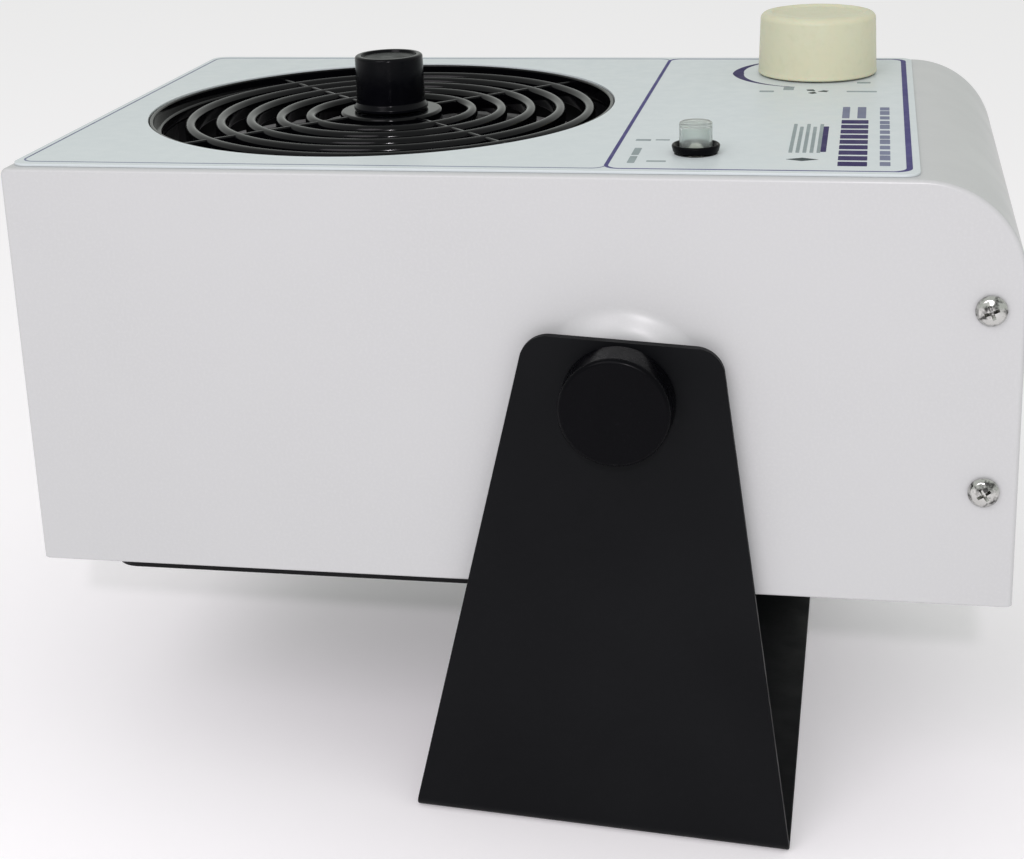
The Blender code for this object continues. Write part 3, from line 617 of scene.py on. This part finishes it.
def cover_mesh():
    """The white shell: walls with an inside, two bosses, and its holes."""
    bm = bmesh.new()
    outer = shell_rows(bm, 0.0, HALF, RIM)
    inner = shell_rows(bm, WALL, HALF - WALL, 0.0003)
    for rows in (outer, inner):
        for a, b in zip(rows, rows[1:]):
            for k in range(len(a) - 1):
                bm.faces.new((a[k], a[k + 1], b[k + 1], b[k]))
        bm.faces.new(rows[0])
        bm.faces.new(rows[-1])
    loops = []
    for rows in (outer, inner):
        loops.append([row[0] for row in rows] + [row[-1] for row in reversed(rows)])
    lips = []
    for loop, sink in ((loops[0], 0.0003), (loops[1], -0.0003)):
        lip = []
        for vert in loop:
            x = vert.co.x + (sink if vert.co.x < LENGTH / 2 else -sink)
            y = vert.co.y + (sink if vert.co.y < 0 else -sink)
            lip.append(bm.verts.new((x, y, 0)))
        lips.append(lip)
    for a, b in ((loops[0], lips[0]), (lips[0], lips[1]), (lips[1], loops[1])):
        for k in range(len(a)):
            n = (k + 1) % len(a)
            bm.faces.new((a[k], a[n], b[n], b[k]))
    base = finish_mesh(bm, "cover")

    slope = [i / 16 for i in range(17)]
    boss_profile = [(0, -0.0007), (BOSS_RADIUS, -0.0007)]
    boss_profile += [(BOSS_RADIUS - BOSS_TAPER * t, 0.00002 + BOSS_RISE * t * t * (3 - 2 * t))
                     for t in slope]
    boss_profile.append((0, 0.0022))
    tools = []
    for side in (-1, 1):
        facing = Matrix.Rotation(-side * math.pi / 2, 4, "X")
        boss = lathe("boss", boss_profile, 96)
        tools.append((moved(boss, at(PIVOT.x, side * HALF, PIVOT.z) @ facing), "UNION"))
    flare = rounded([(0, -0.006), (OUTLET_RADIUS, -0.006), (OUTLET_RADIUS, -0.0005),
                     (OUTLET_RADIUS + 0.0002, -0.0002), (OUTLET_RADIUS + 0.0005, 0.00001),
                     (OUTLET_RADIUS + 0.0005, 0.003), (0, 0.003)])
    tools.append((moved(lathe("outlet", flare, 128), at(OUTLET_X, 0, DEPTH)), "DIFFERENCE"))
    tools.append((moved(pin(STUD_HOLE, THROUGH, 32), at(PIVOT.x, 0, PIVOT.z) @ SIDEWAYS),
                  "DIFFERENCE"))
    for x, y, radius in ((KNOB.x, KNOB.y, KNOB_HOLE), (BUTTON.x, BUTTON.y, BUTTON_HOLE)):
        tools.append((moved(pin(radius, 0.004, 32), at(x, y, DEPTH)), "DIFFERENCE"))
    for z in sorted({round(centre(f"side_screw_{n}").z, 5) for n in range(1, 5)}):
        spot = at(centre("side_screw_1").x, 0, z) @ SIDEWAYS
        tools.append((moved(pin(0.0022, THROUGH, 24), spot), "DIFFERENCE"))
    return boolean("cover", base, tools)


piece("cover_shell", cover_mesh(), "white_paint", "housing", ["front_cover"])


def label_mesh():
    """The film on the front."""
    outline = block(LABEL_LOW.x, LABEL_LOW.y, LABEL_HIGH.x, LABEL_HIGH.y, LABEL_CORNER, 8)
    holes = [ring(OUTLET_X, 0, OUTLET_RADIUS, 128), ring(KNOB.x, KNOB.y, KNOB_HOLE, 32),
             ring(BUTTON.x, BUTTON.y, BUTTON_HOLE, 32)]
    return plate("label", [outline] + holes, DEPTH + 0.02 * MM, LABEL_HIGH.z, 0.0001, 2)


piece("label_sheet", label_mesh(), "label_film", "housing", ["front_label"])

INK_LOW = LABEL_HIGH.z - 0.00001
INK_HIGH = LABEL_HIGH.z + 0.00004
ZONE_Y = 65.55 * MM
LEFT_X = 3.2 * MM
DIVIDER_X = 134.5 * MM
RIGHT_X = 197.7 * MM
SCALE_RADIUS = 20.6 * MM
SCALE_START, SCALE_SWEEP, SCALE_WIDEST = 118, 138, 184


def print_outlines():
    """The printed outlines: a thin one round the outlet and a bolder one round the controls."""
    bm = bmesh.new()
    zone = block(LEFT_X, -ZONE_Y, DIVIDER_X, ZONE_Y, 3 * MM, 10)
    ribbon(bm, zone, [0.42 * MM] * len(zone), INK_LOW, INK_HIGH, True)
    thin = finish_mesh(bm, "thin")
    piece("print_outlet_outline", thin, "ink_slate", "housing", weighted=False)
    bm = bmesh.new()
    zone = block(DIVIDER_X, -ZONE_Y, RIGHT_X, ZONE_Y, 3.2 * MM, 12)
    widths = []
    for x, _ in zone:
        near_right = max(0.0, min(1.0, (x - RIGHT_X + 3.2 * MM) / (3.2 * MM)))
        near_left = max(0.0, min(1.0, (DIVIDER_X + 2.5 * MM - x) / (2.5 * MM)))
        widths.append((0.45 + 0.85 * near_right ** 0.8 + 0.4 * near_left) * MM)
    ribbon(bm, zone, widths, INK_LOW, INK_HIGH + 0.00001, True)
    bold = finish_mesh(bm, "bold")
    piece("print_control_outline", bold, "ink_violet", "housing", weighted=False)


print_outlines()


def print_scale():
    """The tapering arc beside the speed knob."""
    bm = bmesh.new()
    points, widths = [], []
    for step in range(61):
        angle = SCALE_START + SCALE_SWEEP * step / 60
        points.append((KNOB.x + SCALE_RADIUS * math.cos(math.radians(angle)),
                       KNOB.y + SCALE_RADIUS * math.sin(math.radians(angle))))
        fall = abs(angle - SCALE_WIDEST) / 68
        widths.append((0.25 + 2.75 * max(0.0, 1 - fall) ** 1.5) * MM)
    ribbon(bm, points, widths, INK_LOW, INK_HIGH)
    piece("print_speed_scale", finish_mesh(bm, "scale"), "ink_navy", "housing",
          weighted=False)


print_scale()


def marks(name, finish, outlines):
    """One printed piece from several patches."""
    bm = bmesh.new()
    for outline in outlines:
        patch(bm, outline, INK_LOW, INK_HIGH)
    piece(name, finish_mesh(bm, name), finish, "housing", weighted=False)


def bar(x0, y0, x1, y1):
    """A printed bar, in millimetres, with y from the near side."""
    half = HALF / MM
    return block(x0 * MM, (y0 - half) * MM, x1 * MM, (y1 - half) * MM, 0.25 * MM, 3)


def print_marks():
    """Generic marks in place of the wording: bars, ticks and two small symbols."""
    grey = [bar(138.6, 9.6, 140.2, 16.0), bar(138.6, 17.2, 140.2, 24.0),
            bar(137.8, 31.3, 141.2, 32.9), bar(142.2, 31.9, 145.4, 32.9),
            bar(142.6, 10.9, 146.8, 12.1),
            bar(161.8, 88.6, 165.4, 90.4), bar(167.6, 91.4, 170.2, 95.4),
            bar(183.4, 89.1, 190.8, 90.5), bar(185.8, 100.6, 189.2, 102.6)]
    grey += [bar(172.2 + 1.5 * i, 21, 173.0 + 1.5 * i, 50.6 - (i % 2) * 3) for i in range(5)]
    marks("print_grey_marks", "ink_grey", grey)
    ticks = [bar(191.6, 9.5 + 5.2 * i, 193.8, 13.0 + 5.2 * i + (i % 3 == 1) * 0.9)
             for i in range(12)]
    ticks += [bar(182.9, 57.4, 184.6, 70.4), bar(186.4, 57.4, 188.4, 70.4)]
    marks("print_ticks", "ink_slate", ticks)
    bold = [bar(182.9, 9.0 + 5.3 * i, 189.0, 12.9 + 5.3 * i) for i in range(9)]
    bold += [bar(179.0, 22.0, 180.2, 48.0)]
    marks("print_level_bars", "ink_navy", bold)
    middle_y = 14.7 * MM - HALF
    lozenge = [(172.0 * MM, middle_y), (175.4 * MM, middle_y - 1.5 * MM), (178.8 * MM, middle_y),
               (175.4 * MM, middle_y + 1.5 * MM)]
    vane_y = 89.7 * MM - HALF
    vanes = []
    for turn in (20, 140, 260):
        a = math.radians(turn)
        along, side = Vector((math.cos(a), math.sin(a))), Vector((-math.sin(a), math.cos(a)))
        corners = [(0.4, -0.3), (2.2, -1.5), (3.3, -0.2), (2.2, 0.7)]
        vanes.append([(175.8 * MM + (along * u + side * v).x * MM,
                       vane_y + (along * u + side * v).y * MM) for u, v in corners])
    marks("print_symbols", "ink_black", [lozenge] + vanes)


print_marks()


def screw_mesh():
    """A domed cross-recessed screw head on its shank, standing on z = 0."""
    profile = rounded([(0, -0.0088), (0.0017, -0.0088), (0.0017, 0), (0.0033, 0, 0.0001),
                       (0.0033, 0.0005, 0.0003), (0.0027, 0.0013, 0.001), (0.0014, 0.00175, 0.002),
                       (0, 0.0018)], steps=6)
    head = lathe("screw", profile, 64)
    bars = []
    for turn in (0, math.pi / 2):
        bm = bmesh.new()
        bmesh.ops.create_cone(bm, cap_ends=True, segments=4, radius1=0.0011, radius2=0.0029,
                              depth=0.0015)
        bmesh.ops.rotate(bm, verts=bm.verts, matrix=Matrix.Rotation(math.pi / 4, 3, "Z"))
        bmesh.ops.scale(bm, vec=(1.0, 0.22, 1.0), verts=bm.verts)
        bmesh.ops.translate(bm, verts=bm.verts, vec=(0, 0, 0.00145))
        bmesh.ops.rotate(bm, verts=bm.verts, matrix=Matrix.Rotation(turn, 3, "Z"))
        mesh = bpy.data.meshes.new("bar")
        bm.to_mesh(mesh)
        bm.free()
        bars.append((mesh, "DIFFERENCE"))
    return boolean("screw", head, bars)


def side_screws():
    """Each screw stands at its own angle."""
    random.seed(7)
    for number in range(1, 5):
        low, high = local(f"side_screw_{number}")
        side = 1 if low.y > 0 else -1
        mesh = screw_mesh()
        mesh.transform(Matrix.Rotation(random.uniform(0.2, 1.4), 4, "Z"))
        mesh.transform(Matrix.Rotation(-side * math.pi / 2, 4, "X"))
        mesh.transform(at((low.x + high.x) / 2, side * SCREW_SEAT, (low.z + high.z) / 2))
        piece(f"side_screw_head_{number}", mesh, "bright_zinc", "housing", [f"side_screw_{number}"])


side_screws()


# ---------------------------------------------------------------- grille, cleaner, fan

def grille_mesh():
    """Five round-topped rings on four thin spokes, a hub, a rim that lies under the cover, and a
    collar that lines the outlet."""
    top, bottom = RING_TOP, GRILLE_LOW.z
    parts = []
    for i in range(RING_COUNT):
        radius = (FIRST_RING + RING_PITCH * i) * MM
        inner, outer = radius - 1.4 * MM, radius + 1.4 * MM
        section = rounded([(inner, bottom, 0.0004), (outer, bottom, 0.0004),
                           (outer, top, 0.00138), (inner, top, 0.00138)], True, 8)
        parts.append((lathe("ring", section, 160, True), Matrix.Identity(4)))
    step = DEPTH - WALL - 0.0004
    rim = rounded([(RIM_INNER, bottom, 0.0003), (RIM_OUTER, bottom, 0.0003),
                   (RIM_OUTER, step, 0.0002), (RIM_INNER, step, 0.0006)], True, 4)
    parts.append((lathe("rim", rim, 160, True), Matrix.Identity(4)))
    hub = rounded([(SHAFT_BORE, bottom), (HUB_RADIUS, bottom, 0.0004), (HUB_RADIUS, top, 0.0008),
                   (SHAFT_BORE, top)], True, 4)
    parts.append((lathe("hub", hub, 96, True), Matrix.Identity(4)))
    body = joined("grille", parts)
    collar = rounded([(COLLAR_INNER, DEPTH - 2 * WALL), (COLLAR_OUTER, DEPTH - 2 * WALL),
                      (COLLAR_OUTER, GRILLE_HIGH.z, 0.0002),
                      (COLLAR_INNER, GRILLE_HIGH.z, 0.0004)], True, 4)
    lining = moved(lathe("collar", collar, 192, True), at(OUTLET_X - FAN.x, 0, 0))
    spokes = []
    for angle, reach in SPOKES:
        arm = plate("spoke", [block(0.0115, -SPOKE_HALF, reach, SPOKE_HALF)], bottom + 0.0003,
                    top - 0.0003, 0.0004, 2)
        spokes.append((arm, Matrix.Rotation(math.radians(angle), 4, "Z")))
    mesh = boolean("grille", body, [(lining, "UNION"), (joined("spokes", spokes), "UNION")], 40)
    mesh.transform(at(FAN.x, 0, 0))
    return mesh


piece("grille_rings", grille_mesh(), "gloss_black", "housing", ["front_grille"])


def cleaner_knob():
    """The black grip on the grille's hub, with a duller disc in its top that is coloured lighter as a painted
    reflection of the light from above.
    """
    low, high = local("cleaner_knob")
    base, height = low.z, high.z - low.z
    profile = rounded([(0, 0.0090), (SHAFT_BORE, 0.0090), (SHAFT_BORE, 0), (0.0092, 0, 0.0003),
                       (0.0092, 0.0008, 0.0006), (0.0085, 0.0018, 0.0008),
                       (0.0084, height, 0.0011), (0.0069, height, 0.0003),
                       (0.0066, height - 0.0008, 0.0004), (0, height - 0.0010)], steps=6)
    mesh = lathe("cleaner", profile, 96)
    mesh.transform(at(FAN.x, 0, base))
    piece("cleaner_grip", mesh, "cleaner_black", "cleaner", ["cleaner_knob"])
    disc = rounded([(0, height - 0.0010), (0.0063, height - 0.0010),
                    (0.0063, height - 0.0006, 0.0002), (0, height - 0.0006)])
    mesh = moved(lathe("disc", disc, 96), at(FAN.x, 0, base))
    piece("cleaner_disc", mesh, "disc_black_painted_light", "cleaner")


cleaner_knob()


def bristles():
    """A tuft of stiff strands under the brush arm."""
    low, high = local("cleaner_brush")
    random.seed(11)
    bm = bmesh.new()
    columns, rows = 22, 11
    for i in range(columns):
        for j in range(rows):
            x = low.x + (i + 0.5 + random.uniform(-0.3, 0.3)) / columns * (high.x - low.x)
            y = low.y + (j + 0.5 + random.uniform(-0.3, 0.3)) / rows * (high.y - low.y)
            tip = Vector((random.uniform(-0.0004, 0.0004), random.uniform(-0.0004, 0.0004), 0))
            start = Vector((x, y, high.z))
            end = Vector((x, y, low.z + random.uniform(0, 0.0003))) + tip
            end.x = min(max(end.x, low.x), high.x)
            end.y = min(max(end.y, low.y), high.y)
            made = []
            for point, radius in ((start, 0.00014), (end, 0.00009)):
                around = [Vector((radius * math.cos(a), radius * math.sin(a), 0))
                          for a in (0, 2 * math.pi / 3, 4 * math.pi / 3)]
                made.append([bm.verts.new(point + offset) for offset in around])
            bm.faces.new(made[0])
            bm.faces.new(made[1])
            for k in range(3):
                n = (k + 1) % 3
                bm.faces.new((made[0][k], made[0][n], made[1][n], made[1][k]))
    piece("bristle_tuft", finish_mesh(bm, "bristles"), "bristle", "cleaner", ["cleaner_brush"],
          weighted=False)


bristles()


def blade_mesh(root, tip, height, steps=10, across=8):
    """One cambered fan blade, from inside the rotor cup to its tip."""
    bm = bmesh.new()
    sheets = []
    for side in (1, -1):
        grid = []
        for i in range(steps + 1):
            u = i / steps
            radius = root + (tip - root) * u
            pitch = math.radians(44 - 14 * u)
            chord = (24 + 5 * u) * MM
            skew = math.radians(9) * u * u
            row = []
            for j in range(across + 1):
                v = j / across - 0.5
                camber = 0.0022 * (1 - 4 * v * v)
                thick = side * (0.00085 - 0.0003 * u) * math.sqrt(max(0.0, 1 - 4 * v * v) + 0.06)
                along = chord * v
                lift = camber + thick
                offset = along * math.cos(pitch) - lift * math.sin(pitch)
                z = along * math.sin(pitch) + lift * math.cos(pitch)
                angle = skew + offset / radius
                row.append(bm.verts.new((radius * math.cos(angle), radius * math.sin(angle),
                                         height + z)))
            grid.append(row)
        sheets.append(grid)
    for grid in sheets:
        for a, b in zip(grid, grid[1:]):
            for j in range(across):
                bm.faces.new((a[j], a[j + 1], b[j + 1], b[j]))
    upper, lower = sheets
    border = ([(i, 0) for i in range(steps + 1)] + [(steps, j) for j in range(1, across + 1)]
              + [(i, across) for i in range(steps - 1, -1, -1)]
              + [(0, j) for j in range(across - 1, 0, -1)])
    for k, (i, j) in enumerate(border):
        m, n = border[(k + 1) % len(border)]
        bm.faces.new((upper[i][j], upper[m][n], lower[m][n], lower[i][j]))
    return finish_mesh(bm, "blade", 50)


BLADE_COUNT = 7
BLADE_ROOT, BLADE_TIP, BLADE_HEIGHT = 0.0222, 0.0547, 0.0215


def rotor():
    """The fan's cup with its blades."""
    high = local("impeller")[1]
    blades = [(blade_mesh(BLADE_ROOT, BLADE_TIP, BLADE_HEIGHT),
               Matrix.Rotation(2 * math.pi * k / BLADE_COUNT, 4, "Z")) for k in range(BLADE_COUNT)]
    cup = rounded([(0, 0.0356), (0.0022, 0.0356), (0.0022, 0.0304), (0.0040, 0.0304),
                   (0.0040, 0.0348), (0.0212, 0.0348), (0.0212, 0.0065), (0.0230, 0.0065),
                   (0.0230, high.z, 0.0022), (0.0120, high.z, 0.0004),
                   (0.0116, high.z - 0.0004, 0.0003), (0, high.z - 0.0004)], steps=6)
    mesh = boolean("rotor", lathe("cup", cup, 96), [(joined("blades", blades), "UNION")], 40)
    mesh.transform(at(FAN.x, 0, 0))
    piece("fan_rotor", mesh, "black_plastic", "impeller", ["impeller"])


rotor()


# ---------------------------------------------------------------- controls

def speed_knob():
    """The ivory knob, hollow under its top, with a shallow dish."""
    base, height = KNOB_LOW.z, KNOB_HIGH.z - KNOB_LOW.z
    profile = rounded([(0, 0.0112), (0.0033, 0.0112), (0.0033, 0.0036), (0.0095, 0.0036),
                       (0.0095, 0), (0.0155, 0, 0.0006), (0.0153, 0.0012, 0.0004),
                       (0.01485, height - 0.0005, 0.0032),
                       (0.0121, height, 0.0012), (0.0112, height - 0.0007, 0.0016),
                       (0, height - 0.0011)], steps=8)
    mesh = lathe("knob", profile, 144)
    mesh.transform(at(KNOB.x, KNOB.y, base))
    piece("dial_knob", mesh, "ivory_plastic", "speed_knob", ["speed_knob"])


speed_knob()


def button():
    """The clear cap and the black bowl round it."""
    low, high = local("button_cap")
    top = high.z
    profile = rounded([(0, top - 0.0010), (0.0029, top - 0.0010, 0.0004), (0.0029, low.z),
                       (0.0036, low.z, 0.0001), (0.0036, top, 0.0005), (0, top)], steps=6)
    mesh = lathe("cap", profile, 64)
    mesh.transform(at(BUTTON.x, BUTTON.y, 0))
    piece("button_lens", mesh, "clear_plastic", "power_button", ["button_cap"])
    seat = local("button_bezel")[0].z
    rim = local("button_bezel")[1].z
    bowl = rounded([(0.0041, seat), (0.0047, seat, 0.0001), (0.0050, seat + 0.0003, 0.0004),
                    (0.0053, rim - 0.0004, 0.0004), (0.0048, rim, 0.0003),
                    (0.0041, rim - 0.0008, 0.0003)], True, 5)
    mesh = lathe("bezel", bowl, 64, True)
    mesh.transform(at(BUTTON.x, BUTTON.y, 0))
    piece("bezel_ring", mesh, "satin_black", "housing", ["button_bezel"])


button()


# ---------------------------------------------------------------- stand and clamps

BRACKET_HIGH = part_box("tilt_bracket")[1]
SHEET = 2.0 * MM
LEG_Y = BRACKET_HIGH.y
BASE_HALF = BRACKET_HIGH.x
TOP_HALF = 21.0 * MM
STAND_TOP = BRACKET_HIGH.z
CORNER = 5.0 * MM
BEND = 3.0 * MM


def stand_half_width(z):
    """Half the width of the stand at a height, with the rounded corners at the top."""
    slope = (BASE_HALF - TOP_HALF) / (STAND_TOP + 0.0003)
    plain = BASE_HALF - slope * z
    start = STAND_TOP - CORNER
    if z <= start:
        return plain
    rise = min((z - start) / CORNER, 1.0)
    return plain - CORNER * (1 - math.sqrt(max(0.0, 1 - rise * rise)))


def stand_mesh():
    """One folded sheet: a rounded-edge section swept down a leg, across the base and up."""
    side = []
    start = STAND_TOP - CORNER
    heights = [start + CORNER * math.sin(math.pi / 2 * (1 - i / 14)) for i in range(15)]
    heights += [start + (BEND - start) * i / 12 for i in range(1, 13)]
    for z in heights:
        side.append((Vector((-(LEG_Y - SHEET / 2), z)), Vector((-1, 0)), z))
    middle = LEG_Y - BEND
    for i in range(1, 9):
        a = math.radians(180 + 90 * i / 8)
        normal = Vector((math.cos(a), math.sin(a)))
        place = Vector((-middle, BEND)) + normal * (BEND - SHEET / 2)
        side.append((place, normal, place.y))
    path = side + [(Vector((0, SHEET / 2)), Vector((0, -1)), SHEET / 2)]
    path += [(Vector((-p.x, p.y)), Vector((-n.x, n.y)), z) for p, n, z in reversed(side)]
    section = block(-1, -SHEET / 2, 1, SHEET / 2, 0.00035, 3)
    bm = bmesh.new()
    rows = []
    for place, normal, z in path:
        half = stand_half_width(z)
        row = []
        for u, v in section:
            x = math.copysign(half - (1 - abs(u)), u)
            spot = place + normal * v
            row.append(bm.verts.new((x, spot.x, spot.y)))
        rows.append(row)
    for a, b in zip(rows, rows[1:]):
        for k in range(len(a)):
            n = (k + 1) % len(a)
            bm.faces.new((a[k], a[n], b[n], b[k]))
    bm.faces.new(rows[0])
    bm.faces.new(rows[-1])
    base = finish_mesh(bm, "stand", 50)
    bore = moved(pin(STUD_HOLE, THROUGH, 48), Matrix.Translation(TILT_AXIS) @ SIDEWAYS)
    return boolean("stand", base, [(bore, "DIFFERENCE")], 50)


piece("stand_sheet", stand_mesh(), "black_enamel", "stand", ["tilt_bracket"],
      place=Matrix.Identity(4))


def thumb_knobs():
    """The two tilt clamps, with flat faces."""
    for side, place in ((-1, "near"), (1, "far")):
        low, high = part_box(f"thumb_knob_{place}")
        seat = high.y if side < 0 else low.y
        height = high.y - low.y
        profile = rounded([(0, 0.0056), (SHAFT_BORE, 0.0056), (SHAFT_BORE, 0), (0.0118, 0, 0.0003),
                           (0.0124, 0.0006, 0.0005), (0.0120, height - 0.0001, 0.0011),
                           (0, height - 0.0001)], steps=8)
        mesh = lathe("thumb", profile, 96)
        mesh.transform(at(TILT_AXIS.x, seat, TILT_AXIS.z)
                       @ Matrix.Rotation(-side * math.pi / 2, 4, "X"))
        piece(f"thumb_grip_{place}", mesh, "satin_black", f"clamp_{place}",
              [f"thumb_knob_{place}"], Matrix.Identity(4))


thumb_knobs()


# ---------------------------------------------------------------- back

WINDOW_PITCH, WINDOW = 20.1 * MM, 16.7 * MM
LID_WALL = 0.002


def filter_lid():
    """The snap-on cover: a five by five lattice in a raised frame."""
    low, high = local("filter_cover")
    half = (high.x - low.x) / 2
    x = (high.x + low.x) / 2
    outline = block(x - half, -half, x + half, half, 0.006, 8)
    windows = []
    for i in range(-2, 3):
        for j in range(-2, 3):
            cx, cy = x + i * WINDOW_PITCH, j * WINDOW_PITCH
            windows.append(block(cx - WINDOW / 2, cy - WINDOW / 2, cx + WINDOW / 2,
                                 cy + WINDOW / 2, 0.0008, 3))
    face = plate("lid", [outline] + windows, low.z, low.z + 0.0013, 0.0003, 2)
    inner = block(x - half + LID_WALL, -half + LID_WALL, x + half - LID_WALL, half - LID_WALL,
                  0.004, 8)
    wall = plate("wall", [outline, inner], low.z + 0.0006, high.z, 0.0002, 2)
    piece("filter_lid", boolean("lid", face, [(wall, "UNION")], 40), "black_plastic", "housing",
          ["filter_cover"])


filter_lid()


PORE_SCALE, PORE_DEPTH = 700, 0.00035


def foam_sheet():
    """The filter foam, with an uneven open-cell face."""
    low, high = local("foam_filter")
    count = 96
    bm = bmesh.new()
    layers = []
    for z, way in ((low.z, 1), (high.z, -1)):
        grid = []
        for i in range(count + 1):
            row = []
            for j in range(count + 1):
                x = low.x + (high.x - low.x) * i / count
                y = low.y + (high.y - low.y) * j / count
                pore = abs(noise.noise(Vector((x * PORE_SCALE, y * PORE_SCALE, z * 900))))
                dip = 0.0 if i in (0, count) or j in (0, count) else PORE_DEPTH * pore
                row.append(bm.verts.new((x, y, z + way * dip)))
            grid.append(row)
        layers.append(grid)
    for grid in layers:
        for a, b in zip(grid, grid[1:]):
            for j in range(count):
                bm.faces.new((a[j], a[j + 1], b[j + 1], b[j]))
    lower, upper = layers
    border = ([(i, 0) for i in range(count)] + [(count, j) for j in range(count)]
              + [(i, count) for i in range(count, 0, -1)] + [(0, j) for j in range(count, 0, -1)])
    for k, (i, j) in enumerate(border):
        m, n = border[(k + 1) % len(border)]
        bm.faces.new((lower[i][j], lower[m][n], upper[m][n], upper[i][j]))
    sheet = piece("foam_sheet", finish_mesh(bm, "foam", 80), "foam", "housing", ["foam_filter"],
                  weighted=False)


foam_sheet()


# ---------------------------------------------------------------- CAD nodes that stay

def dress_frame():
    """Gives each CAD node that stays on show the finish of its material slot."""
    slots = {row["node"]: row["material_slot"] for row in frame["record"]["subparts"]}
    for name, obj in frame["nodes"].items():
        obj.data.materials.clear()
        obj.data.materials.append(FINISHES[slots[name]])


dress_frame()


# ---------------------------------------------------------------- stage, light and camera

FLOOR_HALF = 6
FLOOR_COLOUR = (0.97, 0.94, 0.97, 1)
FLOOR_GLOW = 0.1
WORLD_COLOUR = (0.965, 1.0, 0.96, 1)
WORLD_STRENGTH = 0.72
KEY = {"size": 0.9, "power": 7.0, "colour": (1.0, 0.93, 1.0),
       "place": (-0.60, -1.30, 1.22), "target": (0, 0, 0.1)}
SPARKLE = {"size": 0.030, "power": 1.30, "colour": (1.0, 0.95, 1.0),
           "place": (0.06, -0.66, 0.42), "target": (-0.05, 0, 0.14)}
SENSOR, LENS = 36, 64.84
SHIFT_X, SHIFT_Y = -0.0294, -0.1283
EYE = (0.04335, -0.44036, 0.24737)
EYE_RIGHT = (0.98446, 0.17308, 0.02960)
EYE_AHEAD = (-0.15587, 0.93902, -0.30650)


def stage():
    """A plain pale floor, faintly lit from itself."""
    bm = bmesh.new()
    bmesh.ops.create_grid(bm, x_segments=1, y_segments=1, size=FLOOR_HALF)
    mesh = bpy.data.meshes.new("floor")
    bm.to_mesh(mesh)
    bm.free()
    floor = bpy.data.objects.new("floor", mesh)
    bpy.context.scene.collection.objects.link(floor)
    floor.location = (0, 0, cad_low.z)
    pale = bpy.data.materials.new("floor")
    pale.use_nodes = True
    shader = pale.node_tree.nodes["Principled BSDF"]
    shader.inputs["Base Color"].default_value = FLOOR_COLOUR
    shader.inputs["Roughness"].default_value = 0.9
    shader.inputs["Specular IOR Level"].default_value = 0.0
    shader.inputs["Emission Color"].default_value = (1, 1, 1, 1)
    shader.inputs["Emission Strength"].default_value = FLOOR_GLOW
    mesh.materials.append(pale)


def light(name, size, power, colour, place, target):
    """A round area light that faces its target."""
    data = bpy.data.lights.new(name, "AREA")
    data.shape = "DISK"
    data.size = size
    data.energy = power
    data.color = colour
    lamp = bpy.data.objects.new(name, data)
    bpy.context.scene.collection.objects.link(lamp)
    lamp.location = place
    lamp.rotation_euler = (Vector(target) - Vector(place)).to_track_quat("-Z", "Y").to_euler()


def studio():
    """An even sky, a broad key light and a small one for the highlights."""
    world = bpy.data.worlds.new("studio")
    bpy.context.scene.world = world
    world.use_nodes = True
    back = world.node_tree.nodes["Background"]
    back.inputs["Color"].default_value = WORLD_COLOUR
    back.inputs["Strength"].default_value = WORLD_STRENGTH
    light("key", **KEY)
    light("sparkle", **SPARKLE)


def camera():
    """Close to the near side, right of the middle, looking down along the photograph's line."""
    data = bpy.data.cameras.new("camera")
    data.sensor_width = SENSOR
    data.lens = LENS
    data.shift_x = SHIFT_X
    data.shift_y = SHIFT_Y
    data.clip_start = 0.02
    data.clip_end = 50
    eye = bpy.data.objects.new("camera", data)
    bpy.context.scene.collection.objects.link(eye)
    right = Vector(EYE_RIGHT).normalized()
    ahead = Vector(EYE_AHEAD).normalized()
    above = right.cross(ahead)
    right = ahead.cross(above)
    turn = Matrix((right, above, -ahead)).transposed()
    eye.matrix_world = Matrix.Translation(EYE) @ turn.to_4x4()
    bpy.context.scene.camera = eye


stage()
studio()
camera()
bpy.context.scene.view_settings.view_transform = "Standard"
